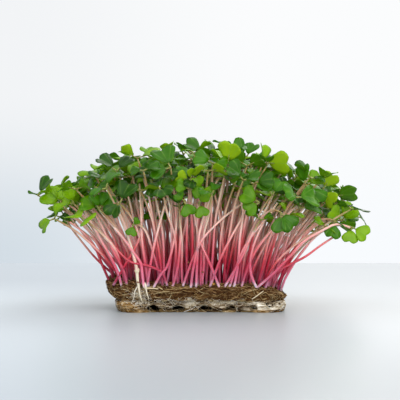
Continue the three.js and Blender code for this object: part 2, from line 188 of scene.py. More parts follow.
table_bm = bmesh.new()
bmesh.ops.create_grid(table_bm, x_segments=1, y_segments=1, size=1)
for vert in table_bm.verts:
    y = TABLE_BACK if vert.co.y > 0 else TABLE_FRONT
    vert.co = Vector((vert.co.x * TABLE_HALF_WIDTH, y, 0)) * MM
table_mesh = mesh_from(table_bm, "table")
table = bpy.data.objects.new("table", table_mesh)
scene.collection.objects.link(table)
satin, tree, shader = material("satin_white_table", {"Roughness": 0.36, "Specular IOR Level": 0.35})
spot = add(tree, "ShaderNodeTexCoord").outputs["Object"]
apart = add(tree, "ShaderNodeSeparateXYZ", {"Vector": spot}).outputs
rightwards, beside_block, forwards = (
    add(tree, "ShaderNodeMapRange", {"Value": apart[axis], "From Min": start, "From Max": end},
        interpolation_type="SMOOTHSTEP")
    for axis, start, end in (("X", -0.16, 0.14), ("Y", 0.3, 0.04), ("Y", -0.1, -0.4)))
# Painted light and shade: these colours make the table paler beside the block and greyer towards the front,
# most on the right.
far, beside, near = (
    add(tree, "ShaderNodeMix", {"Factor": rightwards, "A": left, "B": right}, data_type="RGBA")
    for left, right in (("#a4adb6", "#a3a8ad"), ("#b7c0c8", "#a9aeb3"), ("#a9b3bc", "#848a8f")))
painted_light_and_shade = far
for share, nearer in ((beside_block, beside), (forwards, near)):
    painted_light_and_shade = add(tree, "ShaderNodeMix", {"Factor": share, "A": painted_light_and_shade, "B": nearer}, data_type="RGBA")
plug(shader, {"Base Color": painted_light_and_shade})
table_mesh.materials.append(satin)


# The growing mat is a pad of brown plant fibre, about a centimetre thick, pressed into a tray with sloping
# sides. Here it is the solid of the frame, with the plugs of its tufts melted in, and then roughened.
TUFT_COLUMNS = 8
TUFT_ROWS = 6
TUFT_MARGIN = 7
TOP_HALF = (56.7, 42)
MAT_TOP = 16.8
LEFT_END_LIFT = 3.4
RIGHT_END_DROP = 4.2
END_SLOPE_START_X = 32
PLUG_RADIUS = 5.2
PLUG_DEPTH = 6
MAT_VOXEL = 0.9
CORNER_START = (42, 30)
CORNER_PULL = 0.045
UINT = 0xFFFFFFFF


def draw(seedling, attempt, use):
    """One seeded number from 0 to 1 for a seedling, a try and a use."""
    mixed = (seedling + 1) * 0x9E3779B1 & UINT
    mixed ^= (attempt + 1) * 0x85EBCA77 & UINT
    mixed ^= (use + 1) * 0xC2B2AE3D & UINT
    mixed = (mixed ^ (mixed >> 15)) * 0x2C1B3C6D & UINT
    mixed = (mixed ^ (mixed >> 12)) * 0x297A2D39 & UINT
    return (mixed ^ (mixed >> 15)) / 4294967296


def between(a, b, t):
    return a + (b - a) * t


def mat_top_at(x, y):
    towards_end = np.maximum(0, np.abs(x) - END_SLOPE_START_X) / (TOP_HALF[0] - END_SLOPE_START_X)
    ends = np.where(x < 0, LEFT_END_LIFT, -RIGHT_END_DROP) * towards_end
    return MAT_TOP + ends + 0.22 * np.sin(x * 0.12 + y * 0.07) + 0.2 * np.sin(y * 0.11 - 1)


def clear_of_corner(x, y):
    """Where x falls when a place near one of the mat's round corners is drawn in."""
    pull = max(0, abs(y) - CORNER_START[1]) * max(0, abs(x) - CORNER_START[0]) * CORNER_PULL
    return x - math.copysign(pull, x)


def tuft_places():
    """Where each tuft stands: a staggered grid with seeded shifts."""
    places = []
    half_x, half_y = (half - TUFT_MARGIN for half in TOP_HALF)
    for number in range(TUFT_ROWS * TUFT_COLUMNS):
        row, column = divmod(number, TUFT_COLUMNS)
        stagger = 0.72 if row % 2 else 0.28
        x = between(-half_x, half_x, (column + stagger) / TUFT_COLUMNS) + (draw(number, 0, 90) - 0.5) * 3.6
        y = between(-half_y, half_y, row / (TUFT_ROWS - 1)) + (draw(number, 0, 91) - 0.5) * 3
        x = clear_of_corner(x, y)
        places.append(np.array([x, y, float(mat_top_at(x, y))]))
    return places


def piece_from(mesh, name, *materials):
    """An object at the origin for a mesh that already holds its place."""
    for material in materials:
        mesh.materials.append(material)
    piece = bpy.data.objects.new(name, mesh)
    scene.collection.objects.link(piece)
    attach(piece, "root")
    return piece


def solid_of(node):
    """A bmesh of one of the frame's solids, with its loose triangles joined."""
    solid = bmesh.new()
    solid.from_mesh(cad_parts[node].data)
    bmesh.ops.remove_doubles(solid, verts=solid.verts, dist=0.01 * MM)
    return solid


def melted(source, name, voxel):
    """One closed skin round everything in a bmesh, with even faces of the voxel's size."""
    holder = bpy.data.objects.new(name + "_rough", mesh_from(source, name + "_rough"))
    scene.collection.objects.link(holder)
    remesh = holder.modifiers.new("melt", "REMESH")
    remesh.mode = "VOXEL"
    remesh.voxel_size = voxel * MM
    shaped = holder.evaluated_get(bpy.context.evaluated_depsgraph_get())
    mesh = bpy.data.meshes.new_from_object(shaped)
    mesh.name = name
    bpy.data.objects.remove(holder)
    return mesh


def roughen(mesh, layers, floor=None):
    """Moves each point along its normal by layers of noise: (lump size, height), both in millimetres."""
    skin = bmesh.new()
    skin.from_mesh(mesh)
    skin.normal_update()
    moved = []
    for vert in skin.verts:
        push = sum(noise.noise(vert.co / (size * MM)) * height for size, height in layers)
        co = vert.co + vert.normal * push * MM
        if floor is not None:
            co.z = max(co.z, floor * MM)
        moved.append(co)
    for vert, co in zip(skin.verts, moved):
        vert.co = co
    for face in skin.faces:
        face.smooth = True
    skin.to_mesh(mesh)
    skin.free()


def points_of(mesh):
    flat = np.empty(len(mesh.vertices) * 3, np.float32)
    mesh.vertices.foreach_get("co", flat)
    return flat.reshape(-1, 3).astype(float)


def set_points(mesh, points):
    mesh.vertices.foreach_set("co", (np.asarray(points).reshape(-1) * MM).astype(np.float32))
    mesh.update()


places = tuft_places()
mat_bm = solid_of("growing_mat")
for x, y, top in places:
    middle = Matrix.Translation(Vector((x, y, top - PLUG_DEPTH / 2 + 0.2)) * MM)
    bmesh.ops.create_cone(mat_bm, cap_ends=True, segments=8, radius1=PLUG_RADIUS * MM,
                          radius2=PLUG_RADIUS * MM, depth=PLUG_DEPTH * MM, matrix=middle)
mat_mesh = melted(mat_bm, "fibre_mat", MAT_VOXEL)
roughen(mat_mesh, [(7, 1.1), (2.6, 1.0), (1.3, 0.6)])

# The tray's print: the left end is drawn in below, down to its foot, and the rim sinks at the right end.
PRINT_TOP_Z = 13.5
PRINT_LOW_Z = 8
PRINT_FROM_X = -40
PRINT_IN = 4.4
RIM_SINKS = 1.6
RIM_SINKS_FROM_X = 44
mat_points = points_of(mat_mesh) / MM
below = np.clip((PRINT_TOP_Z - mat_points[:, 2]) / (PRINT_TOP_Z - PRINT_LOW_Z), 0, 1)
outward = np.clip((PRINT_FROM_X - mat_points[:, 0]) / (TOP_HALF[0] + PRINT_FROM_X), 0, 1)
mat_points[:, 0] += PRINT_IN * below ** 2 * outward
at_right_end = np.clip((mat_points[:, 0] - RIM_SINKS_FROM_X) / 12, 0, 1)
mat_points[:, 2] -= RIM_SINKS * at_right_end * np.clip((mat_points[:, 2] - PRINT_LOW_Z) / 4, 0, 1)
set_points(mat_mesh, mat_points)

# Plant fibre, such as hemp or coir, felted and damp: dull brown with dark pits and paler streaks.
felt, tree, shader = material("damp_plant_fibre", {"Roughness": 0.9, "Specular IOR Level": 0.1})
spot = add(tree, "ShaderNodeTexCoord").outputs["Object"]
clumps = add(tree, "ShaderNodeTexNoise", {"Vector": spot, "Scale": 1 / (9 * MM), "Detail": 4.0})
lying = add(tree, "ShaderNodeMapping", {"Vector": spot, "Scale": (0.35, 0.35, 1.6)})
fibre = add(tree, "ShaderNodeTexNoise", {
    "Vector": lying, "Scale": 1 / (1.6 * MM), "Detail": 5.0, "Distortion": 0.8})
brown = add(tree, "ShaderNodeValToRGB", {"Fac": fibre}, stops=[
    (0.39, "#0c0401"), (0.47, "#3b2210"), (0.55, "#6f4e2b"), (0.67, "#c2a478")])
damp = add(tree, "ShaderNodeMix", {"Factor": clumps, "A": brown, "B": "#432a16"}, data_type="RGBA")
relief = add(tree, "ShaderNodeBump", {"Height": fibre, "Strength": 0.8, "Distance": 0.6 * MM})
plug(shader, {"Base Color": damp, "Normal": relief})

mat = piece_from(mat_mesh, "fibre_mat", felt)
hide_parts("growing_mat")


# Loose fibres lie all over the mat and stick out of its edge. Each is a short bowed strand of the mat's own
# plant, straw, tan or brown, thinner at both ends.
FIBRES = 6500
FIBRE_SIDES = 3
FIBRE_STEPS = 4
MOSTLY_LEVEL = 0.45


def tube(sides, steps):
    """A closed straight tube of radius 1 from z 0 to z 1, made once and bent into every strand or stem."""
    made = bmesh.new()
    bmesh.ops.create_circle(made, cap_ends=True, segments=sides, radius=1)
    for face in made.faces:
        face.normal_flip()
    rim = made.edges[:]
    for _ in range(steps):
        grown = bmesh.ops.extrude_edge_only(made, edges=rim)["geom"]
        rim = [item for item in grown if isinstance(item, bmesh.types.BMEdge)]
        ring = [item for item in grown if isinstance(item, bmesh.types.BMVert)]
        bmesh.ops.translate(made, verts=ring, vec=(0, 0, 1 / steps))
    bmesh.ops.holes_fill(made, edges=rim)
    bmesh.ops.recalc_face_normals(made, faces=made.faces)
    return mesh_from(made, "tube")


def copies(shape, count, name):
    """A mesh of many copies of one shape, in order, whose points are moved into place afterwards."""
    many = bmesh.new()
    for _ in range(count):
        many.from_mesh(shape)
    return mesh_from(many, name)


def note(mesh, name, values):
    """Keeps one number a point in the mesh, for the material to read."""
    layer = mesh.attributes.new(name, "FLOAT", "POINT")
    layer.data.foreach_set("value", np.asarray(values, np.float32).reshape(-1))


def unit(vectors):
    return vectors / np.maximum(np.linalg.norm(vectors, axis=-1, keepdims=True), 1e-9)


def bent_tubes(shape, start, bend, end, side, radius):
    """The points of one tube along each quadratic curve; radius is a function of the way along, 0 to 1."""
    flat = points_of(shape)
    t = flat[:, 2][None, :, None]
    centre = start[:, None] * (1 - t) ** 2 + bend[:, None] * 2 * t * (1 - t) + end[:, None] * t ** 2
    heading = unit((bend - start)[:, None] * (1 - t) + (end - bend)[:, None] * t)
    across = unit(side[:, None] - heading * (side[:, None] * heading).sum(-1, keepdims=True))
    ahead = np.cross(across, heading)
    thick = np.broadcast_to(radius(flat[:, 2]), (len(start), len(flat)))[..., None]
    return centre + ahead * flat[:, 0][None, :, None] * thick + across * flat[:, 1][None, :, None] * thick


def surface_of(mesh):
    return BVHTree.FromPolygons([v.co for v in mesh.vertices], [p.vertices for p in mesh.polygons])


def strands_on(mesh, count, seed, allowed, length, lift):
    """Start, middle and end of strands that lie on a mesh: allowed(point, normal) picks their spots."""
    surface = surface_of(mesh)
    dice = random.Random(seed)
    found = []
    faces = [p for p in mesh.polygons if allowed(p.center / MM, p.normal)]
    for _ in range(count):
        face = dice.choice(faces)
        spot = face.center + Vector([dice.uniform(-0.5, 0.5) * MM for _ in range(3)])
        way = Vector((dice.gauss(0, 1), dice.gauss(0, 1), dice.gauss(0, MOSTLY_LEVEL)))
        way = (way - face.normal * way.dot(face.normal)).normalized()
        reach = dice.uniform(*length) * MM
        ends = []
        for share in (-0.5, 0.5):
            near, normal, _, _ = surface.find_nearest(spot + way * reach * share)
            ends.append(near + normal * dice.uniform(-0.1, lift) * MM)
        near, normal, _, _ = surface.find_nearest(spot)
        sideways = way.cross(normal) * dice.uniform(-0.22, 0.22) * reach
        middle = near + normal * dice.uniform(0.2, lift * 1.6) * MM + sideways
        found.append([ends[0] / MM, middle / MM, ends[1] / MM])
    return np.array(found)


def strand_mesh(name, shape, paths, seed, widths, tones, taper):
    """A mesh of strands along these paths. Each draws its width and tone; taper is the width along it."""
    dice = np.random.default_rng(seed)
    widths = dice.uniform(*widths, len(paths))[:, None]
    sides = unit(dice.normal(size=(len(paths), 3)))
    mesh = copies(shape, len(paths), name)
    set_points(mesh, bent_tubes(shape, *paths.transpose(1, 0, 2), sides, lambda t: widths * taper(t)[None]))
    note(mesh, "tone", np.repeat(dice.uniform(*tones, len(paths)), len(shape.vertices)))
    return mesh


def on_rim(point, normal):
    side = abs(point.x) > 50 or abs(point.y) > 37
    return point.z > 7.6 and (side or normal.z > 0.5)


thread = tube(FIBRE_SIDES, FIBRE_STEPS)
paths = strands_on(mat_mesh, FIBRES, 11, on_rim, (3, 13), 0.8)
fibre_mesh = strand_mesh("loose_fibres", thread, paths, 12, (0.08, 0.2), (0, 1),
                         lambda t: 0.55 + 0.45 * np.sin(np.pi * t))
straw, tree, shader = material("straw_fibre", {"Roughness": 0.75, "Specular IOR Level": 0.15})
tone = add(tree, "ShaderNodeAttribute", attribute_name="tone").outputs["Fac"]
plug(shader, {"Base Color": add(tree, "ShaderNodeValToRGB", {"Fac": tone}, stops=[
    (0.0, "#180b02"), (0.4, "#523214"), (0.72, "#866236"), (0.9, "#bd9e6a"), (1.0, "#e2d0a0")])})
piece_from(fibre_mesh, "loose_fibres", straw)


# Seed husks are the thin coats that the seeds slipped out of: brown or yellow shells, split and wrinkled,
# left between the fibres on the mat's rim. Smaller ones are caught between the front stems and on the bare
# root.
HUSK_GAPS = [0, 2, 4, 6, 41, 44]
HUSK_ROW_Y = 39.2
HUSK_SIZE = (2.9, 2.3, 1.7)
YELLOW_HUSKS = (2, 4)
HUSK_WALL = 0.16
CAUGHT_HUSKS = [(-2.9, -42.5, 27.5), (4.5, -42, 25.5), (-4.2, -42.5, 31.5), (-35.4, -45.4, 19.4),
                (21.5, -41.5, 18.6)]
CAUGHT_SIZE = (1.9, 1.4, 1.1)


def open_shell(size, turn, middle, seed):
    """A wrinkled shell, cut open at the top by a slanting plane and given a wall."""
    made = bmesh.new()
    bmesh.ops.create_icosphere(made, subdivisions=4, radius=1)
    bmesh.ops.bisect_plane(made, geom=made.verts[:] + made.edges[:] + made.faces[:], plane_co=(0, 0, 0.62),
                           plane_no=(0.5, 0.15, 0.85), clear_outer=True)
    for vert in made.verts:
        wrinkle = noise.noise(vert.co * 2.2 + Vector((seed, 0, 0))) * 0.13
        vert.co *= 1 + wrinkle
        vert.co = Vector(c * s / 2 for c, s in zip(vert.co, size))
    bmesh.ops.recalc_face_normals(made, faces=made.faces)
    bmesh.ops.solidify(made, geom=made.faces[:], thickness=HUSK_WALL)
    bmesh.ops.recalc_face_normals(made, faces=made.faces)
    place = Matrix.Translation(middle) @ Matrix.Rotation(turn, 4, "Z") @ Matrix.Rotation(0.35, 4, "X")
    bmesh.ops.transform(made, matrix=Matrix.Scale(MM, 4) @ place, verts=made.verts)
    return made


def husk_material(name, dark, light):
    """Dry seed coat: papery and half glossy, with fine pits."""
    made, tree, shader = material(name, {"Roughness": 0.5})
    spot = add(tree, "ShaderNodeTexCoord").outputs["Object"]
    pits = add(tree, "ShaderNodeTexNoise", {"Vector": spot, "Scale": 1 / (0.5 * MM), "Detail": 3.0})
    shades = add(tree, "ShaderNodeValToRGB", {"Fac": pits}, stops=[(0.35, dark), (0.65, light)])
    relief = add(tree, "ShaderNodeBump", {"Height": pits, "Strength": 0.5, "Distance": 0.15 * MM})
    plug(shader, {"Base Color": shades, "Normal": relief})
    return made


brown_coat = husk_material("brown_seed_coat", "#4b2a12", "#94602e")
yellow_coat = husk_material("yellow_seed_coat", "#a8761f", "#e0b04a")
for k, gap in enumerate(HUSK_GAPS):
    x = (places[gap][0] + places[gap + 1][0]) / 2
    y = math.copysign(HUSK_ROW_Y, places[gap][1])
    middle = Vector((x, y, float(mat_top_at(x, y)) + HUSK_SIZE[2] / 2 + 0.35))
    mesh = mesh_from(open_shell(HUSK_SIZE, draw(k, 0, 95) * math.pi, middle, k), f"open_husk_{k + 1}")
    husk = piece_from(mesh, f"open_husk_{k + 1}", yellow_coat if k in YELLOW_HUSKS else brown_coat)
    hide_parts(f"seed_husk_{k + 1}")

caught_bm = bmesh.new()
for k, middle in enumerate(CAUGHT_HUSKS):
    shell = open_shell(CAUGHT_SIZE, draw(k, 0, 96) * math.pi, Vector(middle), 10 + k)
    caught_bm.from_mesh(mesh_from(shell, "caught_husk"))
piece_from(mesh_from(caught_bm, "caught_husks"), "caught_husks", brown_coat)


# The root layer is the felt of roots that filled the tray's floor: cream, with tunnels where the ribs were,
# thick feet at both ends that are tan underneath, and a thin skin on the table.
ROOT_VOXEL = 0.75
root_mesh = melted(solid_of("root_layer"), "root_felt", ROOT_VOXEL)
roughen(root_mesh, [(9, 0.7), (3.2, 0.7), (1.4, 0.4)], floor=0)

# The feet stand out to the mat's front and lie on their whole underside.
FEET_FROM_X = 31
FEET_OUT = 0.05
FEET_MIDDLE_X = 3.6
LIES_BELOW_Z = 0.9
# Pits on the right foot's front, drawn only as painted shade: x, z and radius of each dark spot.
FOOT_PIT_SHADES = [(44.6, 5.4, 1.1), (45.9, 3.9, 0.8), (47.8, 4.7, 0.7), (49.2, 5.4, 0.5), (52.4, 5.3, 0.9)]
root_points = points_of(root_mesh) / MM
on_foot = np.clip((np.abs(root_points[:, 0] - FEET_MIDDLE_X) - FEET_FROM_X) / 5, 0, 1)
root_points[:, 1] *= 1 + FEET_OUT * on_foot
root_points[root_points[:, 2] < LIES_BELOW_Z, 2] = 0
set_points(root_mesh, root_points)

# Living root felt: off-white where the roots are new, tan and pinkish where they pressed on the tray, with
# painted shade inside the tunnels.
root_skin, tree, shader = material("matted_roots", {"Roughness": 0.7, "Specular IOR Level": 0.15})
spot = add(tree, "ShaderNodeTexCoord").outputs["Object"]
lying = add(tree, "ShaderNodeMapping", {"Vector": spot, "Scale": (0.3, 0.3, 1.8)})
weave = add(tree, "ShaderNodeTexNoise", {
    "Vector": lying, "Scale": 1 / (1.8 * MM), "Detail": 5.0, "Distortion": 0.6})
patches = add(tree, "ShaderNodeTexNoise", {"Vector": spot, "Scale": 1 / (14 * MM), "Detail": 3.0})
fibrous, cream, tanned, stained = (
    add(tree, "ShaderNodeValToRGB", {"Fac": weave}, stops=stops) for stops in (
    [(0.4, "#180b03"), (0.49, "#46311a"), (0.58, "#847156"), (0.68, "#dad0bc")],
    [(0.36, "#584428"), (0.45, "#b9aa90"), (0.56, "#e6dfd0"), (0.7, "#f6f3ec")],
    [(0.36, "#2e1806"), (0.46, "#6e4d1e"), (0.57, "#a28050"), (0.69, "#d6c098")],
    [(0.4, "#120903"), (0.48, "#3c2a12"), (0.57, "#6e5630"), (0.68, "#ad976c")]))
uneven = add(tree, "ShaderNodeMath", {0: patches, 1: -0.5}, operation="ADD")


def zone(value, start, end, unevenness):
    """From 0 to 1 between two places in millimetres along an axis, with an uneven border."""
    moved = add(tree, "ShaderNodeMath", {0: uneven, 1: unevenness * MM, 2: value}, operation="MULTIPLY_ADD")
    return add(tree, "ShaderNodeMapRange", {"Value": moved, "From Min": start * MM, "From Max": end * MM},
               interpolation_type="SMOOTHSTEP")


def overlap(first, *others):
    """Where all of these zones are 1."""
    for other in others:
        first = add(tree, "ShaderNodeMath", {0: first, 1: other}, operation="MULTIPLY")
    return first


def laid_over(base, layers):
    """A base colour with others laid over it, each where its zone is 1."""
    for share, colour in layers:
        base = add(tree, "ShaderNodeMix", {"Factor": share, "A": base, "B": colour}, data_type="RGBA")
    return base


apart = add(tree, "ShaderNodeSeparateXYZ", {"Vector": spot}).outputs
from_middle = add(tree, "ShaderNodeMath", {0: apart["X"], 1: -FEET_MIDDLE_X * MM}, operation="ADD")
away, depth, length = (
    add(tree, "ShaderNodeMath", {0: value}, operation="ABSOLUTE")
    for value in (from_middle, apart["Y"], apart["X"]))
# Painted shade: the insides of the tunnels are coloured nearly black.
painted_tunnel_shade = overlap(zone(depth, 36.9, 35.6, 0), zone(length, 46, 42, 0), zone(apart["Z"], 0.5, 1.3, 0))
layers = [
    (zone(apart["X"], -28, -36, 30), tanned),
    (zone(apart["X"], 31, 39, 30), cream),
    (zone(apart["Z"], 2.6, 1.2, 3), laid_over(stained, [(zone(away, 31, 35, 4), tanned)])),
    (zone(apart["Z"], 5.2, 7.6, 8), fibrous),
    (painted_tunnel_shade, "#0d0602"),
]
seen_flat = add(tree, "ShaderNodeVectorMath", {0: spot, 1: (1, 0, 1)}, operation="MULTIPLY")
# Painted shade: a dark spot on the front and back of the right foot for each pit.
for x, z, radius in FOOT_PIT_SHADES:
    far = add(tree, "ShaderNodeVectorMath", {0: seen_flat, 1: (x * MM, 0, z * MM)}, operation="DISTANCE")
    layers.append((overlap(zone(far, radius * 1.1, radius * 0.7, 0), zone(depth, 34, 36, 0)), "#1a120c"))
relief = add(tree, "ShaderNodeBump", {"Height": weave, "Strength": 0.7, "Distance": 0.5 * MM})
plug(shader, {"Base Color": laid_over(fibrous, layers), "Normal": relief})

roots = piece_from(root_mesh, "root_felt", root_skin)
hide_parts("root_layer")


# Single roots run over the felt, level along its edge and down over its feet. Young ones are white and a
# little glossy, older ones cream to tan.
ROOT_THREADS = 1700


def on_felt_edge(point, normal):
    return point.z > 0.8 and (abs(point.x - 2.8) > 46 or abs(point.y) > 33)


paths = strands_on(root_mesh, ROOT_THREADS, 21, on_felt_edge, (4, 13), 0.45)
paths[..., 2] = np.maximum(paths[..., 2], 0.35)
thread_mesh = strand_mesh("root_threads", thread, paths, 22, (0.07, 0.17), (0, 1), lambda t: 1 - 0.6 * t)
young_root, tree, shader = material("young_root", {"Roughness": 0.55})
tone = add(tree, "ShaderNodeAttribute", attribute_name="tone").outputs["Fac"]
plug(shader, {"Base Color": add(tree, "ShaderNodeValToRGB", {"Fac": tone}, stops=[
    (0.0, "#543a1c"), (0.35, "#90764c"), (0.65, "#c9b892"), (0.88, "#e6dfd0"), (1.0, "#f5f2ec")])})
piece_from(thread_mesh, "root_threads", young_root)


# Seedlings: where each one's foot, bend and tip are and how its two leaves stand. Three stand in each tuft
# as in the frame's solids, by the same seeded rule, and more are sown between the tufts.
STEMS_PER_TUFT = 3
STEM_FOOT_OFFSET = 1.85
TUFT_SPREAD = 4.2
TIP_STRAY = 6.5
BEND_STRAY = 3.4
LEAF_BASE_GAP = 0.45
LEAF_LENGTH = 15.4
LEAF_HALF_WIDTH = 7.7
SMALL_LEAF_SHARE = 0.8
CROWN_RISE = 82
CROWN_TOP_SPREAD = 4
CROWN_DEPTH = 29
LEAN_OUT = {"left": 42, "right": 50, "side": 26}
LOWER_OUTSIDE = {"left": 0.36, "right": 0.3, "side": 0.16}
LATE_SHARE = 0.03
LATE_HEIGHT = 0.68
LATE_LEAF = 0.66
LEAF_TO_LEAF = 3.4
LEAF_TO_STEM = 3.0
STEM_TO_STEM = 2.8
STEM_OVER_MAT = 1.7
LEAF_OVER_MAT = 8
LEAF_REACH = 12.1
MOST_TRIES = 90
LATE_FROM_TRY = 60
DULL_TONES = {11: 0.1, 6: 0.15, 14: 0.5, 4: 0.1}
CHOSEN_TIPS = {
    10: ((-3, -56, 82), 0.74, None),
    12: ((4, -50, 70), 0.72, None),
    19: ((57, -52, 61), 0.74, None),
    22: ((80, -38, 52), 0.66, None),
    69: ((104, -6, 60), 0.9, (0.46, 1.15)),
    93: ((95, 18, 74), 0.95, None),
    24: ((-91, -20, 72), 0.95, None),
    48: ((-90, 0, 60), 0.8, None),
    72: ((-89, 16, 77), 0.95, None),
}


def plan_seedling(number, attempt, place, turn):
    """Everything that gives one seedling its form: its foot, its curve, and how its two leaves stand."""
    def some(use):
        return draw(number, attempt, use)

    def either(use, amount):
        return (some(use) * 2 - 1) * amount

    out = np.array([math.cos(turn), math.sin(turn), 0])
    foot = place + out * STEM_FOOT_OFFSET
    spread = place + out * TUFT_SPREAD
    u = spread[0] / TOP_HALF[0]
    v = spread[1] / TOP_HALF[1]
    end = "left" if u < 0 else "right"
    lean_x = LEAN_OUT[end] * u * abs(u) ** 0.6
    lean_y = LEAN_OUT["side"] * v * abs(v) ** 0.6
    fall_x = LOWER_OUTSIDE[end] * abs(u) ** 2.4
    fall_y = LOWER_OUTSIDE["side"] * abs(v) ** 2.4
    late = draw(number, 0, 92) < LATE_SHARE or attempt > LATE_FROM_TRY
    shrink = 1 - 0.2 * min(1, attempt / LATE_FROM_TRY)
    thinner = 1 - 0.35 * max(abs(u), abs(v))
    depth = (CROWN_DEPTH * some(2) ** 1.3 - CROWN_TOP_SPREAD) * thinner
    height = (CROWN_RISE * (1 - fall_x - fall_y) - depth) * (LATE_HEIGHT if late else 1)
    reach = 0.5 if late else 1
    chosen_tip, chosen_size, chosen_bend = CHOSEN_TIPS.get(number, (None, None, None))
    if chosen_tip:
        x, y, z = chosen_tip
        tip = np.array([x + either(0, 2.5), y + either(1, 2.5), z + either(2, 1.5)])
    else:
        tip = np.array([
            spread[0] + lean_x * reach + either(0, TIP_STRAY),
            spread[1] + lean_y * reach + either(1, TIP_STRAY),
            place[2] + height,
        ])
    way_out, way_up = chosen_bend or (0.24, between(0.56, 0.7, some(5)))
    bend = np.array([
        between(foot[0], tip[0], way_out) + out[0] * 2.2 + either(3, BEND_STRAY),
        between(foot[1], tip[1], way_out) + out[1] * 2.2 + either(4, BEND_STRAY),
        foot[2] + (tip[2] - foot[2]) * way_up,
    ])
    axis = unit(tip - bend) * 0.5 + np.array([0, 0, 0.5])
    axis[0] += 0.2 * u + either(6, 0.4)
    axis[1] += 0.36 * v + either(7, 0.4)
    axis = unit(axis)
    heading = some(8) * math.pi * 2
    across = unit(np.cross(axis, [math.cos(heading), math.sin(heading), 0]))
    ahead = unit(np.cross(across, axis))
    size = chosen_size or (LATE_LEAF if late else shrink) * between(0.84, 1.1, draw(number, 0, 93))
    blades = [{
        "axis": axis, "ahead": ahead, "across": across, "way": -1 if side else 1,
        "share": size * (SMALL_LEAF_SHARE if side else 1),
        "rise": math.radians(between(12, 60, some(9 + side))),
        "droop": math.radians(between(24, 96, some(11 + side))),
        "fold": math.radians(between(-12, 28, some(13 + side))),
    } for side in (0, 1)]
    return {"number": number, "foot": foot, "bend": bend, "tip": tip, "blades": blades,
            "tone": DULL_TONES.get(number, draw(number, 0, 81)), "pale": draw(number, 0, 80) ** 1.5}


def leaf_surface(tip, blade, along, across, crease=0.0):
    """Points and normals of a leaf's middle surface. Along runs from 0 at the stem to 1 at the lobes, across
    is in millimetres from the midrib, and way is 1 for the larger leaf and -1 for the one opposite."""
    length = LEAF_LENGTH * blade["share"]
    rise, droop, fold, way = blade["rise"], blade["droop"], blade["fold"], blade["way"]
    angle = rise - droop * along
    forward = length * (np.sin(rise) - np.sin(angle)) / droop
    upward = length * (np.cos(angle) - np.cos(rise)) / droop
    normal = blade["ahead"] * (-way * np.sin(angle)) + blade["axis"] * np.cos(angle)
    lifted = np.sqrt(across ** 2 + crease ** 2) - crease
    points = tip + blade["axis"] * (LEAF_BASE_GAP + upward) + blade["ahead"] * (way * forward)
    points = points + blade["across"] * (way * across * np.cos(fold)) + normal * (lifted * np.sin(fold))
    return points, normal


SAMPLE_ROWS = [(0.3, 0.25), (0.46, 0.7), (0.62, 1), (0.8, 0.95), (0.96, 0.68)]
SAMPLE_ALONG = np.array([along for along, share in SAMPLE_ROWS for _ in range(5)])[:, None]
SAMPLE_ACROSS = np.array([share * w for along, share in SAMPLE_ROWS for w in (-1, -0.5, 0, 0.5, 1)])[:, None]
SAMPLE_STEM = ((np.arange(32) + 0.5) / 32)[:, None]


def samples_of(plan):
    """Points spread over a seedling's leaves and along its stem, to keep it clear of the others."""
    leaves = [
        leaf_surface(plan["tip"], blade, SAMPLE_ALONG, SAMPLE_ACROSS * LEAF_HALF_WIDTH * blade["share"])[0]
        for blade in plan["blades"]]
    t = SAMPLE_STEM
    stem = plan["foot"] * (1 - t) ** 2 + plan["bend"] * 2 * t * (1 - t) + plan["tip"] * t ** 2
    return np.array(leaves), stem


def closest(some, others):
    return np.sqrt(((some[:, None] - others[None]) ** 2).sum(-1).min())


class Stand:
    """The seedlings sown so far, as arrays that a new one is tested against."""

    def __init__(self):
        self.plans, self.tufts = [], []
        self.leaves = np.empty((0, 2, 25, 3))
        self.stems = np.empty((0, 32, 3))

    def sow(self, plan, tuft, leaves, stem):
        row = min(TUFT_ROWS - 1, int((plan["foot"][1] + TOP_HALF[1]) / (2 * TOP_HALF[1]) * TUFT_ROWS))
        plan["row"] = tuft // TUFT_COLUMNS if tuft < len(places) else row
        self.plans.append(plan)
        self.tufts.append(tuft)
        self.leaves = np.concatenate([self.leaves, leaves[None]])
        self.stems = np.concatenate([self.stems, stem[None]])

    def has_room(self, leaves, stem, tuft, leaf_gap, leaf_to_stem, stem_gap):
        if not (stem[2:, 2] > mat_top_at(stem[2:, 0], stem[2:, 1]) + STEM_OVER_MAT).all():
            return False
        if leaves[..., 2].min() < MAT_TOP + LEAF_OVER_MAT:
            return False
        if closest(leaves[0, 5:], leaves[1, 5:]) < leaf_gap * 0.6:
            return False
        centres = self.leaves[:, :, 12]
        for leaf in leaves:
            near = np.linalg.norm(centres - leaf[12], axis=-1) < 2 * LEAF_REACH
            if near.any() and closest(leaf, self.leaves[near].reshape(-1, 3)) < leaf_gap:
                return False
            points = self.stems.reshape(-1, 3)
            points = points[np.linalg.norm(points - leaf[12], axis=-1) < LEAF_REACH]
            if len(points) and closest(leaf, points) < leaf_to_stem:
                return False
        near = np.linalg.norm(centres[:, :, None] - stem[None, None], axis=-1).min(-1) < LEAF_REACH
        if near.any() and closest(stem, self.leaves[near].reshape(-1, 3)) < leaf_to_stem:
            return False
        others = self.stems[np.array(self.tufts, int) != tuft]
        return not len(others) or closest(stem, others.reshape(-1, 3)) >= stem_gap


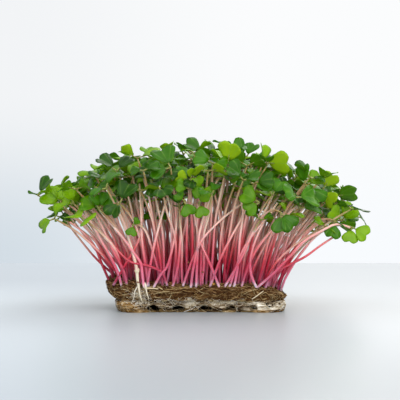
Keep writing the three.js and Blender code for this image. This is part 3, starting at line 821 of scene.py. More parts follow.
# The stems that the eye picks out at the front cross the others on their way down to the mat's front rim.
# Each has its tone, from 0, crimson, to 1, pale, and its path from the crown down.
FRONT_STEMS = [
    (0.75, [(-0.3, -38, 68.2), (0.3, -43, 56.4), (3.7, -46.5, 42.6), (6.5, -46.5, 36.2),
            (10.5, -44.5, 26.8), (15, -40.5, 15.1)]),
    (0.7, [(9, -38, 70.1), (7.1, -43, 60.8), (4.6, -45, 50.3), (1.5, -45, 41), (-3.4, -43.5, 29.2),
            (-8.4, -40, 15)]),
    (0.8, [(-10.9, -38, 70.1), (-11.5, -43, 60.8), (-12.6, -45, 48.4), (-17, -44, 30.2),
            (-21.7, -43, 23.6), (-26.4, -40, 15)]),
    (0.6, [(-8.4, -38, 68.2), (-9, -42, 54.6), (-9.6, -44, 42.2), (-10.5, -44, 31.7), (-12.1, -43, 23.6),
            (-14.6, -40, 15)]),
    (0.8, [(48.5, -40, 73.6), (41, -47, 60.2), (33.9, -48, 47.3), (29.9, -47, 37.4), (25, -45, 28.1),
            (17.5, -40, 15)]),
    (0.7, [(97.2, -30.5, 52.6), (91.5, -33, 54.6), (86.5, -37, 54.6), (80.4, -41, 52.1), (67, -45, 44.7),
            (58.3, -46, 35.5), (49.1, -44.5, 25.6), (37.6, -39.5, 15)]),
    (0.25, [(87.6, -32, 47.4), (77.7, -37, 41.4), (67.3, -41, 34.4), (52.2, -43, 27), (46.2, -42, 21.1),
            (43.1, -39, 14.7)]),
    (0.9, [(-72.2, -36, 67.6), (-69.1, -42, 63.9), (-63.9, -45, 55.2), (-58.3, -46, 45.4),
            (-52.8, -45.5, 35.5), (-48.1, -43.5, 25.5), (-46, -40, 16.6)]),
    (0.05, [(-80.1, -20, 56), (-70.8, -24, 49.1), (-63.6, -27, 40.3), (-59.7, -28, 30.9), (-54.5, -28, 19)]),
    (0.15, [(-33, -38, 71.3), (-33, -45, 57.7), (-35.1, -46, 45.4), (-39.8, -45, 36.1),
            (-46.1, -43.5, 25.5), (-51, -40, 17.2)]),
    (0.3, [(-62.7, -38, 62.6), (-58, -41, 52.7), (-51.7, -43, 43.4), (-45.4, -44, 36),
            (-39.8, -45.8, 31.8), (-34.8, -46.3, 30.6), (-29.3, -46, 29.5), (-24.4, -44.5, 27.5),
            (-20.1, -42.5, 24.2), (-17.1, -39, 15)]),
    (0.6, [(35.1, -40, 70.1), (27.5, -46, 57.1), (20.7, -47, 44.8), (15.7, -46, 34.6), (11.5, -43.5, 23),
            (8.4, -40, 15)]),
    (0.95, [(47.4, -42, 65.1), (41, -46, 54), (36.1, -46.5, 42.9), (33.9, -46, 33.1), (34.1, -44.5, 25.6),
            (35.6, -43, 20.5), (38.2, -40, 15)]),
    (0.85, [(29.2, -40, 67.9), (16.3, -47, 58.4), (4.9, -48.5, 46.7), (0.9, -47.5, 38.1),
            (-1.5, -45, 26.8), (-3.1, -40, 15)]),
    (0.9, [(-16.5, -38, 72.6), (-18.6, -45, 67.9), (-24.5, -47, 46), (-27.5, -45.5, 31.8),
            (-30.2, -40, 15.4)]),
    (0.7, [(-34.7, -42, 80), (-33.6, -46, 63.9), (-33, -46.5, 46), (-31.2, -45, 31.8), (-29.2, -40, 16)]),
    (0.8, [(50.7, -40, 68.2), (45.3, -46, 60.8), (33.2, -47, 46), (26.2, -45.5, 31.8), (20.8, -40, 15)]),
    (0.9, [(18.4, -46, 88.4), (11.9, -49, 79.2), (4.2, -50, 56.7), (1.6, -48.5, 42.4), (0.3, -40, 15)]),
    (0.45, [(65, -40, 68.2), (59.5, -45, 63.6), (42.4, -47, 46), (33.6, -45.5, 31.8), (28.3, -40, 15)]),
    (0.5, [(-64.5, -38, 63.8), (-59.1, -43, 56.4), (-53.9, -46, 45.4), (-49.1, -45.5, 35.5),
            (-44.2, -43.5, 25.5), (-42.6, -40, 16)]),
    (0.97, [(27.6, -42, 72.5), (29.3, -46, 61.4), (27.4, -46.5, 46.6), (26, -44.5, 28), (23.7, -40, 15)]),
]


def smooth_path(points, t):
    """Points at shares t of the way along a Catmull-Rom curve through the given ones."""
    points = np.array(points, float)
    last = len(points) - 1
    at = np.clip(t, 0, 1) * last
    i = np.minimum(at.astype(int), last - 1)
    f = (at - i)[:, None]
    p0, p1, p2, p3 = points[np.maximum(i - 1, 0)], points[i], points[i + 1], points[np.minimum(i + 2, last)]
    return 0.5 * (2 * p1 + (p2 - p0) * f + (2 * p0 - 5 * p1 + 4 * p2 - p3) * f ** 2
                  + (3 * p1 - p0 - 3 * p2 + p3) * f ** 3)


stand = Stand()
numbers = sorted(range(len(places) * STEMS_PER_TUFT), key=lambda n: (n not in CHOSEN_TIPS, n))
for number in numbers:
    tuft = number // STEMS_PER_TUFT
    turn = (draw(tuft, 0, 94) + number % STEMS_PER_TUFT / STEMS_PER_TUFT) * math.pi * 2
    for attempt in range(MOST_TRIES):
        plan = plan_seedling(number, attempt, places[tuft], turn)
        leaves, stem = samples_of(plan)
        if stand.has_room(leaves, stem, tuft, LEAF_TO_LEAF, LEAF_TO_STEM, STEM_TO_STEM):
            stand.sow(plan, tuft, leaves, stem)
            break

# The seedlings that the eye picks out at the front and on the outline. Each has its tip, its bend, a tone
# from 0, dark, to 1, lime, and for each leaf the way it leaves the stem, the way its upper side faces, its
# size, and its droop and fold in degrees. High tones are partly painted light: the lime stands in for light
# shining through the leaf from behind.
FIRST_SHOWN = 1000
SHOWN_CLEAR = 1.6
SHOWN_TRIES = 24
SHOWN_GAP = 0.9
SHOWN = [
    ((-85.5, -24, 67), None, 0.85, ((-0.75, -0.1, 0.55), (0.1, -1, 0.25), 0.95, 25, 15), ((-0.05, 0.1, 1),
     (0.3, -1, 0.1), 0.85, 20, 10)),
    ((-102, -8, 73), None, 0.15, ((0.48, 0, 0.87), (-0.75, -0.6, 0.4), 1, 20, 10), ((-0.3, 0.8, 0.3),
     (0, 0.2, 1), 0.7, 40, 5)),
    ((-74, -44, 76.5), None, 0.55, ((0.85, -0.25, 0.5), (0.25, 0.55, 0.8), 0.88, 75, 5),
     ((-0.85, -0.25, 0.5), (-0.25, 0.55, 0.8), 0.82, 75, 5)),
    ((-59, -54, 64.5), None, 0.45, ((0.6, 0.25, 0.75), (-0.3, -0.9, 0.35), 0.85, 20, 8),
     ((-0.3, 0.3, 0.9), (0.6, -0.75, 0.2), 0.68, 15, 8)),
    ((-58.5, -50, 66), None, 0.6, ((-0.95, -0.1, 0.25), (0.1, -0.7, 0.7), 0.9, 20, 0), ((0.2, 0.9, 0.3),
     (0, 0, 1), 0.7, 30, 5)),
    ((-76, -40, 68), None, 0.9, ((-0.3, -0.2, 0.9), (0.6, -0.75, 0.1), 0.75, 20, 5), ((-0.9, 0.2, 0.2),
     (0.2, -0.7, 0.7), 0.6, 20, 5)),
    ((-32.5, -55, 76), None, 0.75, ((0.85, -0.2, 0.15), (0, 0.35, 0.93), 0.9, 25, 5), ((-0.85, 0.2, 0.2),
     (0, 0.35, 0.93), 0.6, 25, 5)),
    ((-49, -42, 88), None, 0.1, ((-0.7, -0.1, 0.7), (0.3, -0.5, 0.8), 1, 30, 8), ((0.6, 0.1, 0.75),
     (-0.2, -0.5, 0.85), 0.9, 30, 8)),
    ((-36, -44, 96), None, 0.9, ((0.9, -0.1, 0.34), (-0.3, -0.3, 0.9), 1.05, 15, 12),
     ((-0.85, -0.15, 0.5), (0.45, 0.55, 0.7), 0.85, 20, 12)),
    ((-15.5, -55, 87.5), None, 0.35, ((-0.4, 0.4, 0.8), (0.1, -0.85, 0.5), 1.12, 20, 14),
     ((-0.85, -0.35, -0.1), (-0.2, -0.8, 0.5), 1, 20, 5)),
    ((4.5, -4, 99.5), None, 0.3, ((-0.85, 0, 0.5), (0.2, -0.6, 0.75), 1, 15, 20), ((0.85, 0.2, 0.3),
     (0, 0, 1), 0.8, 50, 5)),
    ((7.7, -62, 87.5), None, 1, ((0.9, -0.2, 0.35), (-0.2, 0.65, 0.75), 0.85, 60, 0), ((-0.9, -0.3, 0.3),
     (0.1, 0.65, 0.75), 0.74, 55, 0)),
    ((-0.8, -63, 81.5), None, 0.95, ((0.2, -0.3, 0.85), (-0.7, 0.6, 0.45), 0.6, 20, 5),
     ((-0.85, -0.2, 0.3), (-0.3, 0.75, 0.6), 0.62, 20, 5)),
    ((18.5, -56, 89), None, 0.95, ((0.2, -0.2, 0.95), (0.35, 0.9, 0.1), 1.1, 22, -22),
     ((-0.55, 0.3, 0.75), (0.5, -0.2, 0.85), 0.95, 20, 12)),
    ((31, -4, 99.5), None, 0.4, ((-0.6, -0.1, 0.75), (0.4, -0.8, 0.3), 0.95, 20, 15), ((0.5, 0.2, 0.85),
     (-0.5, -0.7, 0.5), 0.8, 20, 10)),
    ((41.8, -40, 93), None, 1, ((0.95, -0.15, 0.02), (0, 0.85, 0.5), 1.15, 15, 8), ((0.02, 0.2, 0.97),
     (0.8, -0.5, 0.1), 0.85, 15, 25)),
    ((32, -42, 91), None, 0.2, ((-0.75, -0.2, 0.6), (0.1, 0.8, 0.5), 0.95, 45, 0), ((0.75, -0.2, 0.5),
     (-0.1, 0.8, 0.5), 0.85, 45, 0)),
    ((47, -53, 73), None, 0.5, ((0.5, 0.2, 0.8), (-0.25, -0.95, 0.3), 0.82, 20, 5), ((-0.5, 0.2, 0.8),
     (0.25, -0.95, 0.3), 0.78, 20, 5)),
    ((36, -50, 80), None, 0.25, ((0.75, -0.3, 0.3), (0, -0.75, 0.6), 0.9, 25, 5), ((-0.75, -0.3, 0.25),
     (0, -0.75, 0.6), 0.8, 25, 5)),
    ((69, -47, 79), None, 0.4, ((0.6, -0.3, -0.65), (0.3, -0.85, 0.4), 1.05, 25, 0), ((-0.15, 0.1, 1),
     (-0.8, -0.6, 0.1), 0.9, 15, 8)),
    ((71, -46, 80.5), None, 0.75, ((0.75, 0, 0.65), (0.3, -0.85, 0.4), 0.75, 25, 0), ((0.2, 0.9, 0.3),
     (0, 0, 1), 0.7, 30, 5)),
    ((38.6, -62, 68.5), (0.35, 1.05), 0.62, ((-0.8, -0.2, 0.5), (0.1, -0.9, 0.4), 0.88, 20, 5),
     ((-0.75, -0.3, -0.45), (0, -0.9, 0.4), 0.72, 20, 5)),
    ((-38, -54, 55), (0.5, 1.1), 0.6, ((-0.2, -0.3, -0.9), (0.2, -0.9, 0.3), 0.5, 20, 5),
     ((0.5, -0.2, 0.5), (0, -0.9, 0.4), 0.35, 20, 5)),
    ((80, -28, 76), None, 1, ((0.5, -0.1, 0.85), (-0.3, 0.9, 0.2), 0.9, 20, 5), ((0.6, -0.3, -0.65),
     (0.5, 0.75, 0.3), 0.85, 20, 5)),
    ((88, -10, 72), None, 0.2, ((0.9, 0, 0.25), (0.1, 0.6, 0.75), 1.15, 25, 5), ((-0.5, 0, 0.8),
     (0.3, -0.6, 0.75), 0.9, 20, 5)),
    ((92, -26, 55.5), (0.46, 1.15), 0.9, ((0.4, -0.35, 0.6), (-0.2, -0.9, 0.3), 0.9, 30, 5),
     ((-0.45, -0.4, 0.5), (0.2, -0.9, 0.35), 0.8, 30, 5)),
    ((98.5, -30, 53), (0.5, 1.2), 0.95, ((0.75, -0.2, -0.4), (0.1, -0.95, 0.3), 0.8, 20, 5),
     ((-0.2, -0.3, -0.9), (0, -1, 0.1), 0.72, 15, 5)),
    ((87, -36, 57), (0.5, 1.2), 0.45, ((-0.2, -0.3, -0.9), (0.3, -0.9, 0.2), 0.78, 20, 10),
     ((0.6, 0.5, -0.3), (0.2, -0.3, 0.9), 0.6, 20, 5)),
    ((51.5, -60, 62.5), (0.4, 1.2), 0.4, ((0.6, -0.3, -0.7), (0.1, -0.9, 0.4), 0.85, 25, 8),
     ((0.05, -0.35, -0.95), (0, -0.95, 0.1), 0.9, 15, 8)),
    ((-4.5, -61, 78), (0.5, 1.1), 0.62, ((-0.75, -0.3, 0.2), (0, -0.95, 0.25), 0.6, 20, 5),
     ((0.7, -0.3, -0.25), (0, -0.9, 0.4), 0.62, 20, 5)),
    ((3, -58, 76), (0.5, 1.1), 0.8, ((-0.2, -0.2, 0.6), (0, -0.95, 0.2), 0.62, 20, 5), ((0.7, -0.3, -0.2),
     (0.1, -0.95, 0.2), 0.55, 20, 5)),
    ((-6, -62, 69), (0.5, 1.12), 0.55, ((0.35, -0.3, -0.85), (0, -0.95, 0.2), 0.68, 20, 5),
     ((-0.5, -0.3, 0.5), (0, -0.95, 0.2), 0.5, 20, 5)),
    ((2, -61, 68), (0.5, 1.12), 0.7, ((0.3, -0.3, -0.85), (0, -0.95, 0.2), 0.62, 20, 5),
     ((0.5, -0.3, 0.6), (0, -0.95, 0.2), 0.55, 20, 5)),
]


def shown_blade(start, facing, share, droop, fold, way):
    """A leaf that leaves its stem along start and turns its upper side towards facing."""
    start = unit(np.array(start, float))
    facing = np.array(facing, float)
    facing = unit(facing - start * (facing @ start))
    return {
        "axis": facing, "ahead": start * way, "across": unit(np.cross(facing, start * way)), "way": way,
        "share": share, "rise": 0.0, "droop": math.radians(droop), "fold": math.radians(fold),
    }


for k, (tip, bend, tone, larger, smaller) in enumerate(SHOWN):
    number = FIRST_SHOWN + k
    tip = np.array(tip, float)
    x = max(-TOP_HALF[0] + 4, min(TOP_HALF[0] - 4, tip[0] * 0.6))
    y = max(-TOP_HALF[1] + 4, min(TOP_HALF[1] - 4, tip[1] * 0.68))
    base = np.array([x, y, float(mat_top_at(x, y))])
    for attempt in range(SHOWN_TRIES):
        plan = plan_seedling(number, attempt, base, draw(number, attempt, 98) * math.pi * 2)
        nudge = np.array([draw(number, attempt, 110 + axis) * 2 - 1 for axis in range(3)]) * attempt * 0.16
        share_out, share_up = bend or (0.24, between(0.56, 0.7, draw(number, 0, 5)))
        plan["tip"] = tip + nudge
        reach = plan["tip"] - plan["foot"]
        plan["bend"] = plan["foot"] + reach * np.array([share_out, share_out, share_up])
        plan["blades"] = [shown_blade(*larger, 1), shown_blade(*smaller, -1)]
        # The given tone is partly the leaf's own colour and partly painted light from behind.
        plan["tone"] = tone
        leaves, stem = samples_of(plan)
        if attempt == 0:
            first = (plan, leaves, stem)
        if stand.has_room(leaves, stem, number, SHOWN_GAP, SHOWN_GAP, SHOWN_GAP):
            first = (plan, leaves, stem)
            break
    stand.sow(first[0], number, first[1], first[2])

shown_leaves = np.concatenate([samples_of(plan)[0].reshape(-1, 3) for plan in stand.plans
                               if plan["number"] >= FIRST_SHOWN])


def as_seen(points):
    """Where points fall in the picture, as millimetres at the mat's front, and their depth."""
    scale = CAMERA_TO_FRONT / (points[:, 1] - camera.location.y / MM)
    return (points[:, [0, 2]] - np.array(camera.location)[[0, 2]] / MM) * scale[:, None], points[:, 1]


def hides_shown(leaves):
    """Whether any of these leaves would stand in front of a leaf of the seedlings above."""
    spots, depths = as_seen(leaves.reshape(-1, 3))
    shown_spots, shown_depths = as_seen(shown_leaves)
    near = ((spots[:, None] - shown_spots[None]) ** 2).sum(-1) < SHOWN_CLEAR ** 2
    return (near & (depths[:, None] < shown_depths[None])).any()


front_ways = np.array([smooth_path(path, SAMPLE_STEM[:, 0]) for _, path in FRONT_STEMS])
stand.stems = np.concatenate([stand.stems, front_ways])
stand.tufts += [-1] * len(FRONT_STEMS)

# The seedlings between the tufts stray more and keep less room, as these leaves are as thin as real ones.
# Every fifth stands on a rim, two of three at the front. Their leaves fill the crown: under its top line,
# which rises from the left end to the middle and falls to the right, and over its lower edge.
FIRST_BETWEEN = 200
SOWN_BETWEEN = 460
BETWEEN_TRIES = 40
BETWEEN_LEAF_GAP = 1.0
BETWEEN_STEM_GAP = 1.35
BETWEEN_GROWN = 1.13
BETWEEN_LOWER = 1
BETWEEN_STRAY = 13
BETWEEN_DROOP_SHARE = 0.7
RIM_BAND = (2.6, 6)
RIM_EVERY = 5
BACK_RIM_EVERY = 15
CROWN_X = [-105, -84, -65, -45, -20, 10, 28, 52, 77, 97, 104, 112]
CROWN_TOP_Z = [80, 84, 91, 103, 103, 106, 108, 99, 88, 81, 71, 56]
CROWN_LOW_Z = [64, 61, 63, 68, 71, 71, 70, 66, 60, 53, 48, 44]
CROWN_DEEPER_BEHIND = 0.22
low_corner, high_corner = (np.array(corner) / MM for corner in cad_box)


def in_crown(leaves):
    """Whether all of a seedling's leaves lie in the crown's band."""
    points = leaves.reshape(-1, 3)
    top = np.interp(points[:, 0], CROWN_X, CROWN_TOP_Z)
    low = np.interp(points[:, 0], CROWN_X, CROWN_LOW_Z)
    low = low - CROWN_DEEPER_BEHIND * np.maximum(0, points[:, 1] + 30)
    boxed = (points > low_corner).all() and (points < high_corner).all()
    return boxed and (points[:, 2] < top).all() and (points[:, 2] > low).all()


for number in range(FIRST_BETWEEN, FIRST_BETWEEN + SOWN_BETWEEN):
    x = (draw(number, 0, 96) * 2 - 1) * (TOP_HALF[0] - 2.5)
    y = (draw(number, 0, 97) * 2 - 1) * (TOP_HALF[1] - 3)
    if number % RIM_EVERY == 0:
        rim_y = TOP_HALF[1] - between(*RIM_BAND, draw(number, 0, 99))
        y = rim_y if number % BACK_RIM_EVERY == 0 else -rim_y
    x = clear_of_corner(x, y)
    place = np.array([x, y, float(mat_top_at(x, y))])
    turn = draw(number, 0, 98) * math.pi * 2
    for attempt in range(BETWEEN_TRIES):
        plan = plan_seedling(number, attempt, place, turn)
        stray = np.array([draw(number, attempt, 20 + axis) * 2 - 1 for axis in range(4)]) * BETWEEN_STRAY
        lower = np.array([stray[2] * 0.75, stray[3] * 0.4, -9 * draw(number, attempt, 24)])
        plan["tip"] = plan["tip"] + np.array([stray[0], stray[1] * 0.6, -BETWEEN_LOWER])
        plan["bend"] = plan["bend"] + lower
        for blade in plan["blades"]:
            blade["share"] *= BETWEEN_GROWN
            blade["droop"] *= BETWEEN_DROOP_SHARE
        leaves, stem = samples_of(plan)
        if not in_crown(leaves) or hides_shown(leaves):
            continue
        if stand.has_room(leaves, stem, number, BETWEEN_LEAF_GAP, BETWEEN_LEAF_GAP, BETWEEN_STEM_GAP):
            stand.sow(plan, number, leaves, stem)
            break


# Stems: juicy and round, crimson low down, pale pink above and greenish under the leaves, each dividing into
# the two short stalks that carry its leaves.
STEM_SIDES = 8
STEM_STEPS = 14
STEM_RADIUS_FOOT = 0.82
STEM_RADIUS_TIP = 0.6
STALK_SIDES = 6
STALK_STEPS = 4
STALK_END = 0.42
STALK_RADIUS = (0.62, 0.3)

# Radish stem: a wet-looking skin over watery flesh, so light goes a little way in and spreads.
stem_skin, tree, shader = material("radish_stem", {
    "Roughness": 0.28, "Specular IOR Level": 0.3, "Subsurface Weight": 0.6,
    "Subsurface Radius": (1.0, 0.45, 0.35), "Subsurface Scale": 1.2 * MM})
along, tone = (
    add(tree, "ShaderNodeAttribute", attribute_name=name).outputs["Fac"] for name in ("along", "tone"))
spot = add(tree, "ShaderNodeTexCoord").outputs["Object"]
mottle = add(tree, "ShaderNodeTexNoise", {"Vector": spot, "Scale": 1 / (6 * MM), "Detail": 2.0})
shifted = add(tree, "ShaderNodeMath", {0: mottle, 1: 0.08, 2: along}, operation="MULTIPLY_ADD")
shifted = add(tree, "ShaderNodeMath", {0: shifted, 1: -0.04}, operation="ADD")
deep, pale = (add(tree, "ShaderNodeValToRGB", {"Fac": shifted}, stops=stops) for stops in (
    [(0.0, "#a85c80"), (0.04, "#8e0a34"), (0.18, "#ac1430"), (0.3, "#cc5058"), (0.43, "#e09c96"),
     (0.62, "#e0b6a4"), (0.84, "#a08058"), (1.0, "#6c7c30")],
    [(0.0, "#eedae6"), (0.04, "#dc84a0"), (0.18, "#d8647c"), (0.32, "#e09a9e"), (0.46, "#e8c4bc"),
     (0.66, "#dcc6ae"), (0.86, "#a4935e"), (1.0, "#6f8636")]))
stem_colour = add(tree, "ShaderNodeMix", {"Factor": tone, "A": deep, "B": pale}, data_type="RGBA")
plug(shader, {"Base Color": stem_colour})

stem_tube = tube(STEM_SIDES, STEM_STEPS)
stalk_tube = tube(STALK_SIDES, STALK_STEPS)


def tufts_of(row):
    return [f"seedling_tuft_{row * TUFT_COLUMNS + column + 1:02d}" for column in range(TUFT_COLUMNS)]


def stack(plans, key):
    return np.array([plan[key] for plan in plans])


def blades_of(plans):
    """One row for each leaf of these seedlings: the larger leaves first, then the smaller ones."""
    blades = [plan["blades"][side] for side in (0, 1) for plan in plans]
    rows = {key: np.array([blade[key] for blade in blades], float) for key in blades[0]}
    for key, values in rows.items():
        rows[key] = values[:, None] if values.ndim == 2 else values[:, None, None]
    tips = np.concatenate([stack(plans, "tip")] * 2)[:, None]
    return tips, rows


def stem_points(plans):
    flat = points_of(stem_tube)
    t = flat[:, 2][None, :, None]
    foot, bend, tip = (stack(plans, key) for key in ("foot", "bend", "tip"))
    across = np.array([plan["blades"][0]["across"] for plan in plans])
    points = bent_tubes(stem_tube, foot, bend, tip, across,
                        lambda t: between(STEM_RADIUS_FOOT, STEM_RADIUS_TIP, t) * (1 - 0.3 * (t > 0.99)))
    wave = np.array([[draw(plan["number"], 0, 70 + k) for k in range(4)] for plan in plans])
    waves = t * (0.8 + wave[:, 0, None, None]) + wave[:, 1, None, None]
    swing = np.sin(np.pi * t) * np.sin(2 * np.pi * waves)
    sway = np.stack([np.cos(wave[:, 2] * 2 * np.pi), np.sin(wave[:, 2] * 2 * np.pi), 0 * wave[:, 2]], -1)
    points += sway[:, None] * swing * (0.5 + 0.9 * wave[:, 3, None, None])
    points[..., 2] -= 2.2 * np.clip(1 - flat[:, 2] / 0.05, 0, 1)[None]
    return points


def stalk_points(tips, rows):
    """The short leaf stalks: each follows its leaf's underside from the stem's tip to under the blade."""
    flat = points_of(stalk_tube)
    t = (flat[:, 2] * STALK_END)[None, :, None]
    centre, normal = leaf_surface(tips, rows, t, np.zeros_like(t))
    side = np.broadcast_to(rows["across"], centre.shape)
    radius = between(STALK_RADIUS[0], STALK_RADIUS[1], flat[:, 2])[None, :, None]
    centre = centre - normal * radius * (0.2 + flat[:, 2] * 0.9)[None, :, None] - rows["axis"] * 0.3
    return centre + side * flat[:, 0][None, :, None] * radius + normal * flat[:, 1][None, :, None] * radius


for row in range(TUFT_ROWS):
    plans = [plan for plan in stand.plans if plan["row"] == row]
    tips, blades = blades_of(plans)
    stem_bm = bmesh.new()
    for shape in [stem_tube] * len(plans) + [stalk_tube] * 2 * len(plans):
        stem_bm.from_mesh(shape)
    mesh = mesh_from(stem_bm, f"stems_row_{row + 1}")
    parts = (stem_points(plans), stalk_points(tips, blades))
    set_points(mesh, np.concatenate([part.reshape(-1, 3) for part in parts]))
    pale_share = stack(plans, "pale")
    note(mesh, "along", np.concatenate([
        np.tile(points_of(stem_tube)[:, 2] * 0.94, len(plans)),
        np.tile(0.94 + points_of(stalk_tube)[:, 2] * 0.06, 2 * len(plans)),
    ]))
    note(mesh, "tone", np.concatenate([
        np.repeat(pale_share, len(stem_tube.vertices)),
        np.repeat(np.tile(pale_share, 2), len(stalk_tube.vertices)),
    ]))
    piece = piece_from(mesh, f"stems_row_{row + 1}", stem_skin)
    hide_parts(*tufts_of(row))


# The front stems have the same skin. Each is a long tube along its own path, thickest at the foot, and
# they are one piece.
LONG_SIDES = 8
LONG_STEPS = 24
FRONT_RADII = [0.62, 0.7, 0.78, 0.84, 0.84]
FRONT_TONE = 0.85
long_tube = tube(LONG_SIDES, LONG_STEPS)


def swept(path, radii, side=(0.9, 0.1, 0.2)):
    """The points of a long tube along a path, with its radius given at even shares of the way."""
    flat = points_of(long_tube)
    t = flat[:, 2]
    centre = smooth_path(path, t)
    heading = unit(smooth_path(path, t + 0.01) - smooth_path(path, t - 0.01))
    across = unit(np.array(side) - heading * (heading @ np.array(side))[:, None])
    ahead = np.cross(across, heading)
    radius = np.interp(t, np.linspace(0, 1, len(radii)), radii)[:, None]
    return centre + (ahead * flat[:, :1] + across * flat[:, 1:2]) * radius


def along_stem(points):
    """How far up a stem these points are, from 0 at the mat, judged by their height."""
    return np.clip((points[..., 2] - MAT_TOP) / 78, 0, 0.94)


def long_piece(name, skin, runs, tones, along=None):
    """A piece of long tubes, each along its path with its radii and its tone."""
    mesh = copies(long_tube, len(runs), name)
    points = np.array([swept(path, radii) for path, radii in runs])
    set_points(mesh, points)
    note(mesh, "tone", np.repeat(tones, len(long_tube.vertices)))
    if along:
        note(mesh, "along", along(points))
    return piece_from(mesh, name, skin)


front_stems = long_piece("front_stems", stem_skin, [(path, FRONT_RADII) for _, path in FRONT_STEMS],
                         [FRONT_TONE * tone for tone, _ in FRONT_STEMS], along_stem)


# Seed leaves are thin, heart-shaped and slightly cupped, with a notch at the tip, a waved edge and pale
# veins. Each is one closed grid of a few dozen faces, bent into its own shape.
LEAF_CELLS_ACROSS = 6
LEAF_CELLS_ALONG = 5
LEAF_THICKNESS = 0.42
BLADE_START = 0.22
NOTCH_DEPTH = 0.15
NOTCH_WIDTH = 0.3
WEDGE = 0.5


def flat_leaf():
    """A closed flat leaf on a disc: x runs across, y along from -1 to 1, and z is -1 below and 1 above."""
    made = bmesh.new()
    bmesh.ops.create_grid(made, x_segments=LEAF_CELLS_ACROSS, y_segments=LEAF_CELLS_ALONG, size=1)
    for vert in made.verts:
        x, y = vert.co.x, vert.co.y
        vert.co = Vector((x * math.sqrt(1 - y * y / 2), y * math.sqrt(1 - x * x / 2), -1))
    grown = bmesh.ops.extrude_face_region(made, geom=made.faces[:])["geom"]
    upper = [item for item in grown if isinstance(item, bmesh.types.BMVert)]
    bmesh.ops.translate(made, verts=upper, vec=(0, 0, 2))
    bmesh.ops.recalc_face_normals(made, faces=made.faces)
    for face in made.faces:
        face.material_index = 1 if face.normal.z < -0.5 else 0
    return mesh_from(made, "flat_leaf")


leaf_shape = flat_leaf()


def leaf_points(plans):
    """The points of both leaves of every seedling, with each point's share along and across its leaf."""
    tips, rows = blades_of(plans)
    flat = points_of(leaf_shape)
    a = (flat[:, 1] + 1) / 2
    v = flat[:, 0] * (WEDGE + (1 - WEDGE) * np.clip(a / 0.62, 0, 1)) * 1.04
    far = np.clip((a - 0.5) / 0.5, 0, 1) ** 1.5
    along = BLADE_START + a * (1 - BLADE_START) - NOTCH_DEPTH * np.exp(-(v / NOTCH_WIDTH) ** 2) * far
    along = along[None, :, None]
    across = v[None, :, None] * LEAF_HALF_WIDTH * rows["share"]
    points, normal = leaf_surface(tips, rows, along, across, crease=0.9)
    dice = [[draw(plan["number"], side, 60 + k) for k in range(5)] for side in (0, 1) for plan in plans]
    dice = np.array(dice)[:, None]
    rim = (np.hypot(flat[:, 0], flat[:, 1]) ** 3)[None]
    turn = np.arctan2(flat[:, 0], flat[:, 1])[None]
    cup = (dice[..., 0] * 2.4 - 0.8) * (v ** 2 * np.sin(np.pi * np.clip(a, 0.15, 1)))[None]
    wave = (0.12 + 0.4 * dice[..., 1]) * np.sin(turn * (3 + 2 * dice[..., 2]) + dice[..., 3] * 6.3) * rim
    groove = -0.26 * np.exp(-(v / 0.1) ** 2)[None]
    thickness = LEAF_THICKNESS / 2 * (1 - 0.5 * rim) * flat[:, 2][None]
    return points + normal * (cup + wave + groove + thickness)[..., None], along[0, :, 0], v


def leaf_material(name, dark, middle, bright, roughness, through):
    """Leaf skin over thin flesh: waxy, with light from behind glowing yellow-green through it."""
    made, tree, shader = material(name, {"Roughness": roughness, "Specular IOR Level": 0.24})
    tone, along, across = (add(tree, "ShaderNodeAttribute", attribute_name=name).outputs["Fac"]
                           for name in ("tone", "along", "across"))
    spot = add(tree, "ShaderNodeTexCoord").outputs["Object"]
    patches = add(tree, "ShaderNodeTexNoise", {"Vector": spot, "Scale": 1 / (5 * MM), "Detail": 3.0})
    mixed = add(tree, "ShaderNodeMath", {0: patches, 1: 0.5, 2: tone}, operation="MULTIPLY_ADD")
    mixed = add(tree, "ShaderNodeMath", {0: mixed, 1: -0.25}, operation="ADD")
    greens = [(0.0, dark), (0.5, middle), (1.0, bright)]
    green = add(tree, "ShaderNodeValToRGB", {"Fac": mixed}, stops=greens)
    # Veins fan out from the leaf's foot: each is a line of equal slope, a few tenths of a millimetre wide.
    width = add(tree, "ShaderNodeMath", {0: across}, operation="ABSOLUTE")
    slope = add(tree, "ShaderNodeMath", {0: along, 1: -0.2}, operation="ADD")
    slope = add(tree, "ShaderNodeMath", {0: width, 1: slope}, operation="DIVIDE")
    fan = add(tree, "ShaderNodeMath", {0: slope, 1: 0.62}, operation="PINGPONG")
    vein = add(tree, "ShaderNodeMapRange", {
        "Value": fan, "From Min": 0.0, "From Max": 0.09, "To Min": 0.55, "To Max": 0.0,
    }, interpolation_type="SMOOTHSTEP")
    veined = add(tree, "ShaderNodeMix", {"Factor": vein, "A": green, "B": "#8fb04a"}, data_type="RGBA")
    relief = add(tree, "ShaderNodeBump", {
        "Height": vein, "Strength": 0.35, "Distance": 0.3 * MM}, invert=True)
    plug(shader, {"Base Color": veined, "Normal": relief})
    glow = add(tree, "ShaderNodeBsdfTranslucent", {"Color": "#97c800"})
    mixed = add(tree, "ShaderNodeMixShader", {0: through, 1: shader, 2: glow})
    plug(tree.nodes["Material Output"], {"Surface": mixed})
    return made


leaf_upper = leaf_material("seed_leaf_upper", "#0c2e00", "#3d7800", "#88b400", 0.33, 0.36)
leaf_under = leaf_material("seed_leaf_under", "#2e5804", "#5c8c08", "#a4c114", 0.48, 0.41)

for row in range(TUFT_ROWS):
    plans = [plan for plan in stand.plans if plan["row"] == row]
    mesh = copies(leaf_shape, 2 * len(plans), f"seed_leaves_row_{row + 1}")
    points, along, across = leaf_points(plans)
    set_points(mesh, points)
    note(mesh, "along", np.tile(along, len(points)))
    note(mesh, "across", np.tile(across, len(points)))
    note(mesh, "tone", np.repeat(np.tile(stack(plans, "tone"), 2), len(leaf_shape.vertices)))
    piece = piece_from(mesh, f"seed_leaves_row_{row + 1}", leaf_upper, leaf_under)
    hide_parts(*tufts_of(row))


